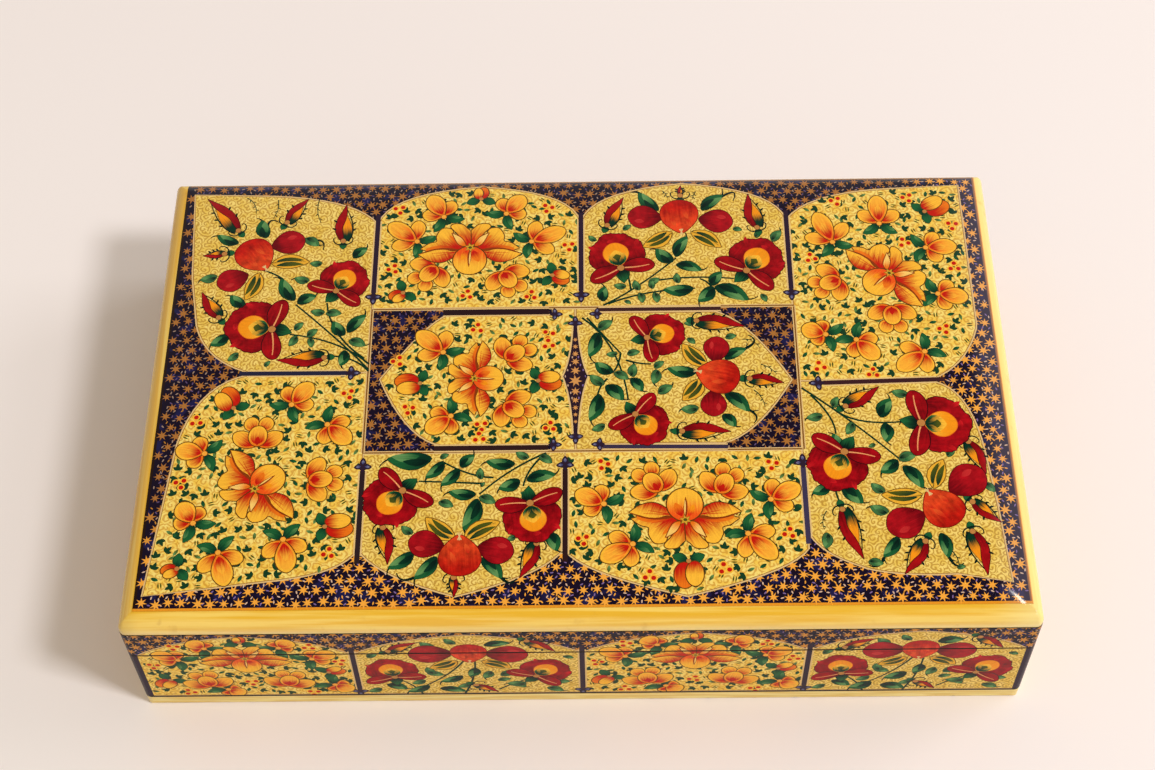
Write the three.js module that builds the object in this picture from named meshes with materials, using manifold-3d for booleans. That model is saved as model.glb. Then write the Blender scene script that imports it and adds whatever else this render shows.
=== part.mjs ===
// A flat rectangular lacquer box with a hinged lid, as a scene graph of its separate pieces.
// Millimetres, +Z up. The origin is the middle of the underside, +X runs along the length, and the
// front is -Y. The box is a boarded carcass: four walls planted on a base board, a thin liner that
// stands proud of the seam to locate the lid, and a lid of four rails under a cushion-edged top
// board, hung on two brass butt hinges let into the rims at the back.
import * as THREE from "three";
import { mergeVertices } from "three/addons/utils/BufferGeometryUtils.js";
import Module from "manifold-3d";

const wasm = await Module();
wasm.setup();

// Overall sizes
const boxLength = 254;
const boxWidth = 157;
const boxHeight = 50;
const seamHeight = 31.5;
const seamGap = 0.3;
const cornerRadius = 2;

// Boards of the body
const baseThickness = 4.8;
const baseEdgeRadius = 1.1;
const wallThickness = 7;
const rabbetDepth = 4;
const glueLine = 0.05;

// Liner that rises past the seam, inside the walls
const linerThickness = 2.2;
const linerRise = 3;
const linerChamfer = 0.7;
const lidClearance = 0.4;

// Lid: rails and the cushion edge of the top board
const topThickness = 6.4;
const roundRun = 4.5;
const roundDrop = 4.2;
const crownRun = 14;
const crownDrop = 0.7;
const roundSteps = 7;
const crownSteps = 5;

// Butt hinges; the pin lies inside the back face, and the bevelled rims stop the lid
const lidOpening = 105;
const hingeSetback = 55;
const leafLength = 26;
const leafWidth = 4.7;
const leafThickness = 1;
const knuckleRadius = 1.5;
const knuckleSpace = 0.4;
const knuckleGap = 0.3;
const middleKnuckle = 8.6;
const pinRadius = 0.8;
const pinClearance = 0.08;
const pinHeadRadius = 1.2;
const pinHeadLength = 0.7;
const mortiseClearance = 0.1;

// Hinge screws
const screwSpacing = 15;
const screwLength = 7;
const screwRadius = 0.75;
const screwHeadRadius = 1.35;
const screwHeadDepth = 0.8;
const screwSlotWidth = 0.35;
const screwSlotDepth = 0.35;
const screwClearance = 0.1;

// Wire nails through the base board
const nailLength = 13;
const nailRadius = 0.6;
const nailHeadRadius = 1.3;
const nailHeadThickness = 0.5;
const nailHeadSink = 0.15;
const nailClearance = 0.1;
const nailsPerRow = 4;
const nailEndMargin = 22;

// Places worked out from the sizes
const halfLength = boxLength / 2;
const halfWidth = boxWidth / 2;
const wallInnerX = halfLength - wallThickness;
const wallInnerY = halfWidth - wallThickness;
const wallFoot = baseThickness + glueLine;
const wallRim = seamHeight - seamGap / 2;
const lidRim = seamHeight + seamGap / 2;
const topUnderside = boxHeight - topThickness;
const railHead = topUnderside - glueLine;
const railThickness = wallThickness - lidClearance;
const railInnerX = halfLength - railThickness;
const railInnerY = halfWidth - railThickness;
const hingeAxisY = halfWidth - knuckleRadius - knuckleSpace;
const hingeX = halfLength - hingeSetback;
const screwY = hingeAxisY - (leafWidth + knuckleRadius) / 2;

const materials = {
  blackLacquer: new THREE.MeshStandardMaterial({ color: 0x17110e, roughness: 0.28 }),
  ochreLacquer: new THREE.MeshStandardMaterial({ color: 0xd9ab45, roughness: 0.3 }),
  creamLacquer: new THREE.MeshStandardMaterial({ color: 0xdcc27a, roughness: 0.3 }),
  brass: new THREE.MeshStandardMaterial({ color: 0xb8903f, roughness: 0.35, metalness: 1 }),
  steel: new THREE.MeshStandardMaterial({ color: 0x8a8780, roughness: 0.45, metalness: 1 }),
};

// A closed three.js geometry as a solid that can be cut and joined.
function solidOf(geometry) {
  const bare = geometry.index ? geometry.toNonIndexed() : geometry.clone();
  bare.deleteAttribute("normal");
  bare.deleteAttribute("uv");
  const merged = mergeVertices(bare, 1e-5);
  return new wasm.Manifold(
    new wasm.Mesh({
      numProp: 3,
      vertProperties: merged.attributes.position.array,
      triVerts: new Uint32Array(merged.index.array),
    }),
  );
}

function geometryOf(solid) {
  const { vertProperties, triVerts, numProp } = solid.getMesh();
  const positions = new Float32Array((vertProperties.length / numProp) * 3);
  for (let i = 0; i < positions.length / 3; i++)
    positions.set(vertProperties.subarray(i * numProp, i * numProp + 3), i * 3);
  const geometry = new THREE.BufferGeometry();
  geometry.setAttribute("position", new THREE.BufferAttribute(positions, 3));
  geometry.setIndex(new THREE.BufferAttribute(new Uint32Array(triVerts), 1));
  geometry.computeVertexNormals();
  return geometry;
}

function addPiece(group, name, solid, material) {
  const mesh = new THREE.Mesh(geometryOf(solid), material);
  mesh.name = name;
  group.add(mesh);
}

function joined(solids) {
  return solids.reduce((whole, piece) => whole.add(piece));
}

function block(low, high) {
  const size = high.map((v, i) => v - low[i]);
  const middle = high.map((v, i) => (v + low[i]) / 2);
  return solidOf(new THREE.BoxGeometry(...size).translate(...middle));
}

const axisX = new THREE.Vector3(1, 0, 0);
const axisY = new THREE.Vector3(0, 1, 0);
const axisZ = new THREE.Vector3(0, 0, 1);

// A prism along X from x = start to x = end, over an outline of [y, z] points.
function prismAlongX(outline, start, end) {
  const shape = new THREE.Shape(outline.map(([y, z]) => new THREE.Vector2(y, z)));
  const geometry = new THREE.ExtrudeGeometry(shape, { depth: end - start, bevelEnabled: false });
  geometry.applyMatrix4(new THREE.Matrix4().makeBasis(axisY, axisZ, axisX));
  return solidOf(geometry.translate(start, 0, 0));
}

// A prism along Y from y = start to y = end, over an outline of [x, z] points.
function prismAlongY(outline, start, end) {
  const shape = new THREE.Shape(outline.map(([x, z]) => new THREE.Vector2(x, z)));
  const geometry = new THREE.ExtrudeGeometry(shape, { depth: end - start, bevelEnabled: false });
  geometry.applyMatrix4(new THREE.Matrix4().makeBasis(axisX, axisZ, axisY.clone().negate()));
  return solidOf(geometry.translate(0, end, 0));
}

// A cylinder along X, centred on the hinge axis line.
function hingeRod(radius, start, end) {
  const geometry = new THREE.CylinderGeometry(radius, radius, end - start, 20);
  geometry.rotateZ(Math.PI / 2);
  return solidOf(geometry.translate((start + end) / 2, hingeAxisY, seamHeight));
}

// A solid of revolution on a vertical axis, over [radius, height] points that begin and end on it.
function turned(profile, x, y, segments) {
  const points = profile.map(([r, z]) => new THREE.Vector2(r, z));
  const geometry = new THREE.LatheGeometry(points, segments);
  geometry.rotateX(Math.PI / 2);
  return solidOf(geometry.translate(x, y, 0));
}

// The plan outline of the box, with rounded corners, as a tall prism that trims each board.
function planEnvelope(low, high, inset = 0) {
  const x = halfLength - inset;
  const y = halfWidth - inset;
  const r = cornerRadius;
  const plan = new THREE.Shape();
  plan.absarc(x - r, y - r, r, 0, Math.PI / 2, false);
  plan.absarc(r - x, y - r, r, Math.PI / 2, Math.PI, false);
  plan.absarc(r - x, r - y, r, Math.PI, Math.PI * 1.5, false);
  plan.absarc(x - r, r - y, r, Math.PI * 1.5, Math.PI * 2, false);
  const geometry = new THREE.ExtrudeGeometry(plan, {
    depth: high - low,
    bevelEnabled: false,
    curveSegments: 6,
  });
  return solidOf(geometry.translate(0, 0, low));
}

// How far the top surface lies below the crown, at a distance from the edge: a quarter ellipse for
// the round, plus a shallow parabola that draws the field down towards it.
function edgeDrop(distance) {
  const round = Math.max(0, 1 - distance / roundRun);
  const crown = Math.max(0, 1 - distance / crownRun);
  return roundDrop * (1 - Math.sqrt(1 - round * round)) + crownDrop * crown * crown;
}

// The cushion outline over a board of that half width, from its underside to its crown.
function cushionOutline(half) {
  const distances = [];
  for (let i = 0; i <= roundSteps; i++)
    distances.push(roundRun * (1 - Math.cos((i / roundSteps) * (Math.PI / 2))));
  for (let i = 1; i <= crownSteps; i++)
    distances.push(roundRun + ((crownRun - roundRun) * i) / crownSteps);
  const rise = distances.map((d) => [half - d, boxHeight - edgeDrop(d)]);
  const fall = rise.map(([across, z]) => [-across, z]).reverse();
  return [[half, topUnderside], ...rise, ...fall, [-half, topUnderside]];
}

// Rims at the back: a bevel falls away from the hinge axis on each side of the seam, so that the
// two bevels come together when the lid has turned through lidOpening. way is -1 for the body's
// wall and 1 for the lid's rail.
function bevelPoints(way) {
  const slope = THREE.MathUtils.degToRad(lidOpening / 2);
  const clear = seamGap / 2;
  const innerY = hingeAxisY - clear * Math.tan(slope / 2);
  const run = (halfWidth - hingeAxisY + clear * Math.sin(slope)) / Math.cos(slope);
  const backDrop = run * Math.sin(slope) + clear * Math.cos(slope);
  return { rim: [innerY, seamHeight + way * clear], back: [halfWidth, seamHeight + way * backDrop] };
}

// Hinge: where each leaf's knuckles lie along the barrel, from its middle.
const knuckleEnd = leafLength / 2;
const middleHalf = middleKnuckle / 2;
const outerSpans = [
  [-knuckleEnd, -middleHalf - knuckleGap],
  [middleHalf + knuckleGap, knuckleEnd],
];
const middleSpan = [[-middleHalf, middleHalf]];

// The room that a hinge needs in a rim: a mortise for the leaf and a channel for the barrel.
function hingeRoom(x, way) {
  const end = knuckleEnd + mortiseClearance;
  const barrelEnd = knuckleEnd + pinHeadLength + mortiseClearance;
  const face = seamHeight + (way * seamGap) / 2;
  const floor = face + way * (leafThickness + glueLine);
  const mortise = block(
    [x - end, hingeAxisY - leafWidth - mortiseClearance, Math.min(face - way, floor)],
    [x + end, hingeAxisY, Math.max(face - way, floor)],
  );
  const channel = hingeRod(knuckleRadius + knuckleSpace, x - barrelEnd, x + barrelEnd);
  return mortise.add(channel).add(screwHoles(x, way));
}

// A countersunk wood screw with a slotted head; face is the height of its head.
function hingeScrew(x, y, face, way) {
  const tipTaper = 1.5;
  const profile = [
    [0, 0],
    [screwHeadRadius, 0],
    [screwRadius, screwHeadDepth],
    [screwRadius, screwLength - tipTaper],
    [0, screwLength],
  ];
  return slotted(turnedFrom(profile, x, y, face, way), x, y, face, way);
}

function slotted(screw, x, y, face, way) {
  const depth = way * screwSlotDepth;
  const slot = block(
    [x - screwHeadRadius, y - screwSlotWidth / 2, Math.min(face - way, face + depth)],
    [x + screwHeadRadius, y + screwSlotWidth / 2, Math.max(face - way, face + depth)],
  );
  return screw.subtract(slot);
}

// A turned profile of [radius, depth] points that runs from a face up (way 1) or down (way -1).
function turnedFrom(profile, x, y, face, way) {
  const points = profile.map(([r, depth]) => [r, face + way * depth]);
  return turned(way > 0 ? points : points.reverse(), x, y, 12);
}

function screwPlaces(x) {
  return [x - screwSpacing / 2, x + screwSpacing / 2];
}

// Holes for a hinge's screws, through a leaf's countersinks and on into the wood.
function screwHoles(x, way) {
  const face = seamHeight + (way * seamGap) / 2;
  const profile = [
    [0, -screwClearance],
    [screwHeadRadius + screwClearance, -screwClearance],
    [screwHeadRadius + screwClearance, screwClearance],
    [screwRadius + screwClearance, screwHeadDepth + screwClearance],
    [screwRadius + screwClearance, screwLength + screwClearance],
    [0, screwLength + screwClearance],
  ];
  return joined(screwPlaces(x).map((sx) => turnedFrom(profile, sx, screwY, face, way)));
}

function addScrews(group, name, x, way) {
  const face = seamHeight + (way * seamGap) / 2;
  screwPlaces(x).forEach((sx, i) =>
    addPiece(group, `${name}_${i + 1}`, hingeScrew(sx, screwY, face, way), materials.brass),
  );
}

// One leaf: a plate let into the rim, with its own knuckles, cut clear of the other leaf's.
function hingeLeaf(x, way, ownSpans, otherSpans) {
  const face = seamHeight + (way * seamGap) / 2;
  const back = face + way * leafThickness;
  const plate = block(
    [x - knuckleEnd, hingeAxisY - leafWidth, Math.min(face, back)],
    [x + knuckleEnd, hingeAxisY, Math.max(face, back)],
  );
  const knuckles = ownSpans.map(([a, b]) => hingeRod(knuckleRadius, x + a, x + b));
  const rooms = otherSpans.map(([a, b]) =>
    hingeRod(knuckleRadius + knuckleGap, x + a - knuckleGap, x + b + knuckleGap),
  );
  return joined([plate, ...knuckles])
    .subtract(joined(rooms))
    .subtract(hingeRod(pinRadius + pinClearance, x - leafLength, x + leafLength))
    .subtract(screwHoles(x, way));
}

// The pin, with a low head past each end of the barrel.
function hingePin(x) {
  const shank = hingeRod(pinRadius, x - knuckleEnd - pinHeadLength, x + knuckleEnd + pinHeadLength);
  const start = knuckleEnd + mortiseClearance;
  const head = (side) => {
    const ends = [x + side * start, x + side * (knuckleEnd + pinHeadLength)];
    return hingeRod(pinHeadRadius, Math.min(...ends), Math.max(...ends));
  };
  return joined([shank, head(-1), head(1)]);
}

// Nails: a row under the middle line of each long wall, and one under each side wall.
function nailPlaces() {
  const lineX = halfLength - wallThickness / 2;
  const lineY = halfWidth - wallThickness / 2;
  const reach = halfLength - nailEndMargin;
  const steps = Array.from({ length: nailsPerRow }, (_, i) => (2 * i) / (nailsPerRow - 1) - 1);
  return [
    ...steps.map((step) => [step * reach, -lineY]),
    ...steps.map((step) => [step * reach, lineY]),
    [-lineX, 0],
    [lineX, 0],
  ];
}

function nail([x, y], spare) {
  const headFloor = spare > 0 ? -1 : nailHeadSink;
  const neck = nailHeadSink + nailHeadThickness + spare;
  const profile = [
    [0, headFloor],
    [nailHeadRadius + spare, headFloor],
    [nailHeadRadius + spare, neck],
    [nailRadius + spare, neck],
    [nailRadius + spare, nailLength],
    [0, nailLength + nailRadius + spare],
  ];
  return turned(profile, x, y, 10);
}

const nailHoles = joined(nailPlaces().map((place) => nail(place, nailClearance)));

// Base board: planted under the walls, with eased edges
function baseBoard() {
  const eased = (half) => {
    const arc = [];
    const steps = 3;
    for (let i = 0; i <= steps; i++) {
      const turn = (i / steps) * (Math.PI / 2);
      const across = half - baseEdgeRadius * (1 - Math.sin(turn));
      arc.push([across, baseEdgeRadius * (1 - Math.cos(turn))]);
    }
    const side = [...arc, [half, baseThickness]];
    const other = side.map(([across, z]) => [-across, z]).reverse();
    return [...side, ...other];
  };
  return prismAlongX(eased(halfWidth), -halfLength, halfLength)
    .intersect(prismAlongY(eased(halfLength), -halfWidth, halfWidth))
    .intersect(planEnvelope(-1, baseThickness + 1))
    .subtract(nailHoles);
}

// Long boards carry a rabbet at each end, which takes the end of a side board.
function rabbeted(board, thickness, side, low, high) {
  const inner = halfWidth - thickness;
  const shoulder = inner + rabbetDepth;
  const ends = [-1, 1].map((way) => {
    const xs = [way * (halfLength - thickness), way * (halfLength + 1)].sort((a, b) => a - b);
    const ys = [side * (inner - 1), side * shoulder].sort((a, b) => a - b);
    return block([xs[0], ys[0], low - 1], [xs[1], ys[1], high + 1]);
  });
  return board.subtract(joined(ends));
}

// A side board between the long ones, its ends in their rabbets.
function sideBoard(side, thickness, low, high) {
  const reach = halfWidth - thickness + rabbetDepth - glueLine;
  const xs = [side * (halfLength - thickness + glueLine), side * halfLength].sort((a, b) => a - b);
  return block([xs[0], -reach, low], [xs[1], reach, high]);
}

function frontBoard(thickness, low, high) {
  const board = block([-halfLength, -halfWidth, low], [halfLength, thickness - halfWidth, high]);
  return rabbeted(board.intersect(planEnvelope(low - 1, high + 1)), thickness, -1, low, high);
}

// A back board: way is -1 for the body's wall, bevelled at its head, and 1 for the lid's rail.
function backBoard(thickness, foot, way) {
  const bevel = bevelPoints(way);
  const inner = halfWidth - thickness;
  const rim = seamHeight + (way * seamGap) / 2;
  const outline = [[inner, foot], [halfWidth, foot], bevel.back, bevel.rim, [inner, rim]];
  const board = prismAlongX(way < 0 ? outline : outline.reverse(), -halfLength, halfLength);
  const low = Math.min(foot, rim);
  const high = Math.max(foot, rim);
  const trimmed = board.intersect(planEnvelope(low - 1, high + 1));
  const cut = rabbeted(trimmed, thickness, 1, low, high);
  return cut.subtract(hingeRoom(-hingeX, way)).subtract(hingeRoom(hingeX, way));
}

// Liner strips stand on the base, inside the walls, with a chamfer where the lid goes over them.
function linerOutline(outer) {
  const side = Math.sign(outer);
  const face = Math.abs(outer) - glueLine;
  const inner = face - linerThickness;
  const head = seamHeight + linerRise;
  const points = [
    [inner, wallFoot],
    [face, wallFoot],
    [face, head - linerChamfer],
    [face - linerChamfer, head],
    [inner, head],
  ];
  return side > 0 ? points : points.map(([across, z]) => [-across, z]).reverse();
}

const linerEnd = wallInnerX - glueLine;
const sideLinerEnd = wallInnerY - 2 * glueLine - linerThickness;

const body = new THREE.Group();
addPiece(body, "base_board", baseBoard(), materials.ochreLacquer);
addPiece(
  body,
  "body_front_board",
  frontBoard(wallThickness, wallFoot, wallRim).subtract(nailHoles),
  materials.creamLacquer,
);
addPiece(
  body,
  "body_back_board",
  backBoard(wallThickness, wallFoot, -1).subtract(nailHoles),
  materials.creamLacquer,
);
for (const [side, name] of [[-1, "left"], [1, "right"]]) {
  const board = sideBoard(side, wallThickness, wallFoot, wallRim).subtract(nailHoles);
  addPiece(body, `body_${name}_board`, board, materials.creamLacquer);
}
for (const [side, name] of [[-1, "front"], [1, "back"]]) {
  const strip = prismAlongX(linerOutline(side * wallInnerY), -linerEnd, linerEnd);
  addPiece(body, `liner_${name}`, strip, materials.blackLacquer);
}
for (const [side, name] of [[-1, "left"], [1, "right"]]) {
  const strip = prismAlongY(linerOutline(side * wallInnerX), -sideLinerEnd, sideLinerEnd);
  addPiece(body, `liner_${name}`, strip, materials.blackLacquer);
}
nailPlaces().forEach((place, i) =>
  addPiece(body, `base_nail_${i + 1}`, nail(place, 0), materials.steel),
);

// The lid turns about the hinge axis, so its group stands there.
const lid = new THREE.Group();
lid.position.set(0, hingeAxisY, seamHeight);
const lidPieces = new THREE.Group();
lidPieces.position.copy(lid.position).negate();
lid.add(lidPieces);

function topBoard() {
  return prismAlongX(cushionOutline(halfWidth), -halfLength, halfLength)
    .intersect(prismAlongY(cushionOutline(halfLength), -halfWidth, halfWidth))
    .intersect(planEnvelope(topUnderside - 1, boxHeight + 1));
}

addPiece(lidPieces, "lid_top_board", topBoard(), materials.ochreLacquer);
addPiece(
  lidPieces,
  "lid_front_rail",
  frontBoard(railThickness, lidRim, railHead),
  materials.creamLacquer,
);
addPiece(lidPieces, "lid_back_rail", backBoard(railThickness, railHead, 1), materials.creamLacquer);
for (const [side, name] of [[-1, "left"], [1, "right"]]) {
  const rail = sideBoard(side, railThickness, lidRim, railHead);
  addPiece(lidPieces, `lid_${name}_rail`, rail, materials.creamLacquer);
}

for (const [side, name] of [[-1, "left"], [1, "right"]]) {
  const x = side * hingeX;
  const lower = hingeLeaf(x, -1, outerSpans, middleSpan);
  const upper = hingeLeaf(x, 1, middleSpan, outerSpans);
  addPiece(body, `hinge_leaf_lower_${name}`, lower, materials.brass);
  addPiece(body, `hinge_pin_${name}`, hingePin(x), materials.brass);
  addScrews(body, `hinge_screw_lower_${name}`, x, -1);
  addPiece(lidPieces, `hinge_leaf_upper_${name}`, upper, materials.brass);
  addScrews(lidPieces, `hinge_screw_upper_${name}`, x, 1);
}

const box = new THREE.Group();
box.add(body, lid);

export default box;
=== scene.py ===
# %% [markdown]
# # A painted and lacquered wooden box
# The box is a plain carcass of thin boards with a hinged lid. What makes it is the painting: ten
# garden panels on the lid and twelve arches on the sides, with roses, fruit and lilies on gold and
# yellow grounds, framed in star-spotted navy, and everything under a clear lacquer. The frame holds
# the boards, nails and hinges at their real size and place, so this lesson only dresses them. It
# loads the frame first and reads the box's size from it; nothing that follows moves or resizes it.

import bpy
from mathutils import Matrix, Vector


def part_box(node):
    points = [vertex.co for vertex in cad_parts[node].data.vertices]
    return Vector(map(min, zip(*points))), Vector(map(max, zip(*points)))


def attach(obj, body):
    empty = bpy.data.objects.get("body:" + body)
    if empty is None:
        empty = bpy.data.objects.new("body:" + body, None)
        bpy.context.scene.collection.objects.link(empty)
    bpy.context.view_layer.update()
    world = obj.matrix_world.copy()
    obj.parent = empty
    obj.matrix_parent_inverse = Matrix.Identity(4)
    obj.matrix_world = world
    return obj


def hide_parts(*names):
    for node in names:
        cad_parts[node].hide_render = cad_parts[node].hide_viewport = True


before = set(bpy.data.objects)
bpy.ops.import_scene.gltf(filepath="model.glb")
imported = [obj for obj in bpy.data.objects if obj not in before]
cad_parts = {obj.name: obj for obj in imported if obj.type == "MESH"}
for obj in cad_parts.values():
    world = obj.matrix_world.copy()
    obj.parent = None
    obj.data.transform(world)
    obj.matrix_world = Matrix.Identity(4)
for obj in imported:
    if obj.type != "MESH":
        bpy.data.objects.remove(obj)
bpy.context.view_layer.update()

# %% [markdown]
# The rest of the tools: numpy works whole outlines out at once, and Blender's constrained
# triangulation cuts the painting into clean pieces of paint. The script works in millimetres, as a
# box maker does, and turns to metres only when a mesh is filled in.

import bpy
import numpy as np
from mathutils import Matrix, Vector
from mathutils.geometry import delaunay_2d_cdt

MM = 0.001


def node_box(name):
    """Lowest and highest corner of a node of the frame, in mm."""
    return [np.array(corner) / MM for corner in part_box(name)]


wall_low, wall_high = node_box("body_front_board")
rail_low, _ = node_box("lid_front_rail")
top_low, top_high = node_box("lid_top_board")
HALF_LENGTH, HALF_WIDTH, BOX_HEIGHT = top_high
print("box, mm:", 2 * HALF_LENGTH, "x", 2 * HALF_WIDTH, "x", BOX_HEIGHT)

# %% [markdown]
# The camera stands where the photographer stood: a bit above an arm's length away, looking down at
# 56 degrees, with a slight tilt of the horizon. Its place follows from the corners of the box, so
# it is written as the two angles, the tilt, the point looked at and the distance from it.

# %% Camera
FRAME_WIDTH_PX = 1155
FOCAL_PX = 2062.12
LOOK_DOWN, LOOK_ASIDE, HORIZON_TILT = 0.9788, -0.0205, -0.0274
LOOKED_AT = np.array([-1.0778, 32.472, 0.0])
CAMERA_DISTANCE = 664.22

forward = np.array(
    [
        np.sin(LOOK_ASIDE) * np.cos(LOOK_DOWN),
        np.cos(LOOK_ASIDE) * np.cos(LOOK_DOWN),
        -np.sin(LOOK_DOWN),
    ]
)
level_right = np.array([np.cos(LOOK_ASIDE), -np.sin(LOOK_ASIDE), 0.0])
level_up = np.cross(level_right, forward)
camera_right = np.cos(HORIZON_TILT) * level_right + np.sin(HORIZON_TILT) * level_up
camera_up = np.cross(camera_right, forward)

camera_data = bpy.data.cameras.new("camera")
camera_data.sensor_width = 36
camera_data.lens = FOCAL_PX * camera_data.sensor_width / FRAME_WIDTH_PX
camera_data.clip_start, camera_data.clip_end = 0.05, 20
camera = bpy.data.objects.new("camera", camera_data)
turned = np.eye(4)
turned[:3, 0], turned[:3, 1], turned[:3, 2] = camera_right, camera_up, -forward
turned[:3, 3] = (LOOKED_AT - forward * CAMERA_DISTANCE) * MM
camera.matrix_world = Matrix(turned.tolist())
bpy.context.collection.objects.link(camera)
bpy.context.scene.camera = camera
print("lens:", round(camera_data.lens, 2), "mm")

# %% [markdown]
# Shader maths reads better as sums than as boxes and wires. Tone wraps a socket that carries a
# number, so that adding or multiplying tones adds the Math nodes, and Finish adds any other node:
# it takes the node's settings first and then the values or links of its sockets.

# %% Shader expressions


def paint(red, green, blue):
    """The linear colour of a paint given as it looks on a screen, in steps from 0 to 255."""
    seen = np.array([red, green, blue]) / 255
    return np.where(seen <= 0.04045, seen / 12.92, ((seen + 0.055) / 1.055) ** 2.4)


class Tone:
    """A number that changes over a surface."""

    def __init__(self, finish, socket):
        self.finish, self.socket = finish, socket

    def math(self, operation, *values):
        """This tone and the values through one Math node."""
        sockets = dict(enumerate((self, *values)))
        return self.finish.tone("ShaderNodeMath", {"operation": operation}, sockets)

    def __add__(self, other):
        return self.math("ADD", other)

    def __sub__(self, other):
        return self.math("SUBTRACT", other)

    def __mul__(self, other):
        return self.math("MULTIPLY", other)

    def __truediv__(self, other):
        return self.math("DIVIDE", other)

    def __rsub__(self, other):
        sockets = {0: other, 1: self}
        return self.finish.tone("ShaderNodeMath", {"operation": "SUBTRACT"}, sockets)

    def __abs__(self):
        return self.math("ABSOLUTE")

    __radd__, __rmul__ = __add__, __mul__

    def step(self, low, high):
        """0 below low and 1 above high, with a smooth rise between them."""
        sockets = {"Value": self, "From Min": low, "From Max": high}
        return self.finish.tone(
            "ShaderNodeMapRange", {"interpolation_type": "SMOOTHSTEP"}, sockets
        )

    def is_near(self, number):
        """1 where this tone is the number, and 0 from half a step away."""
        return 1 - abs(self - number).step(0.4, 0.6)


class Finish:
    """A material or a world, built node by node. Its owner is a world or the name of a new
    material."""

    def __init__(self, owner):
        self.owner = bpy.data.materials.new(owner) if isinstance(owner, str) else owner
        self.owner.use_nodes = True
        self.tree = self.owner.node_tree
        self.tree.nodes.clear()

    def node(self, kind, settings=None, sockets=None):
        """Adds a node: its settings first, then the value or link of each socket."""
        made = self.tree.nodes.new(kind)
        for key, value in (settings or {}).items():
            setattr(made, key, value)
        for key, value in (sockets or {}).items():
            if isinstance(value, Tone):
                value = value.socket
            if isinstance(value, bpy.types.NodeSocket):
                self.tree.links.new(value, made.inputs[key])
            else:
                made.inputs[key].default_value = value
        return made

    def tone(self, kind, settings=None, sockets=None):
        """Adds a node whose first output is a number."""
        return Tone(self, self.node(kind, settings, sockets).outputs[0])

    def attribute(self, name, output):
        """The socket of a mesh attribute."""
        return self.node("ShaderNodeAttribute", {"attribute_name": name}).outputs[output]

    def parts(self, vector):
        """The three numbers of a vector."""
        split = self.node("ShaderNodeSeparateXYZ", None, {0: vector})
        return [Tone(self, output) for output in split.outputs]

    def vector(self, x, y, z=0.0):
        """A vector of three numbers or tones."""
        return self.node("ShaderNodeCombineXYZ", None, {0: x, 1: y, 2: z}).outputs[0]

    def millimetres(self):
        """The place on the box in mm, from the piece's own coordinates."""
        here = self.node("ShaderNodeTexCoord").outputs["Object"]
        return self.vector_math("SCALE", here, {"Scale": 1 / MM})

    def vector_math(self, operation, first, sockets=None):
        """One Vector Math node on a vector, with its other sockets given."""
        sockets = {0: first, **(sockets or {})}
        return self.node("ShaderNodeVectorMath", {"operation": operation}, sockets).outputs[0]

    def noise(self, vector, scale, detail=2.0):
        """Soft noise of about 0.3 to 0.7 with patches 1 / scale across."""
        sockets = {"Vector": vector, "Scale": scale, "Detail": detail}
        return self.tone("ShaderNodeTexNoise", None, sockets)

    def mix(self, share, first, second):
        """A colour that goes from the first to the second as the share rises."""
        colours = [
            (*value, 1) if isinstance(value, np.ndarray) else value for value in (first, second)
        ]
        sockets = {0: share, 6: colours[0], 7: colours[1]}
        return self.node("ShaderNodeMix", {"data_type": "RGBA"}, sockets).outputs[2]

    def shaded(self, colour, brightness):
        """A colour made darker or brighter by a tone."""
        return self.vector_math("SCALE", colour, {"Scale": brightness})

    def surface(self, sockets):
        """The Principled shader and the output, which end every finish."""
        shader = self.node("ShaderNodeBsdfPrincipled", None, sockets)
        self.node("ShaderNodeOutputMaterial", None, {"Surface": shader.outputs[0]})
        return self.owner

    def bump(self, height, depth):
        """A bumped normal; depth is the height of the bumps in mm."""
        sockets = {"Height": height, "Distance": depth * MM, "Strength": 1.0}
        return self.node("ShaderNodeBump", None, sockets).outputs[0]


print("shader helpers ready")

# %% [markdown]
# The painter lays opaque dabs one over another. Each dab here is an outline in the plane of the
# painting, with a colour at its root, one at its tip and a line between the two that the colour
# runs along, as the brush did. Outlines are arrays of complex numbers, because a complex number is
# a point, and multiplying by one turns and scales a whole motif at once.

# %% Paint and brush
GOLD_GROUND, NAVY_GROUND, YELLOW_GROUND = 1, 2, 3
ROOT, TIP = slice(0, 3), slice(3, 6)
START_X, START_Y, RUN_X, RUN_Y, SEED, MOTTLE, GROUND = range(6, 13)
SEED_STEP, SEED_CYCLE = 0.37, 97


class Painting:
    """Dabs of paint in the order they are laid, in mm in the plane of the painting. The stretch
    and the shift carry the layout onto the board: each axis stretched by itself, then moved. The
    look of a dab is a row of numbers, named above by their places in it."""

    def __init__(self, stretch=1 + 1j, shift=0.0):
        self.outlines, self.looks = [], []
        self.stretch, self.shift = stretch, shift

    def on_board(self, place):
        """A place of the layout, or an array of them, on the board."""
        return place.real * self.stretch.real + 1j * place.imag * self.stretch.imag + self.shift

    def dab(self, outline, root, tip=None, start=0.0, end=1.0, mottle=0.0, ground=0):
        """Lays one dab, its colour running from root at start to tip at end."""
        outline, start, end = (self.on_board(place) for place in (outline, start, end))
        if handed(outline) < 0:
            outline = outline[::-1]
        run = 1 / (end - start)
        seed = SEED_STEP * (len(self.looks) % SEED_CYCLE)
        tip = root if tip is None else tip
        self.outlines.append(outline)
        self.looks.append(
            [*root, *tip, start.real, start.imag, run.real, run.imag, seed, mottle, ground]
        )


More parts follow.
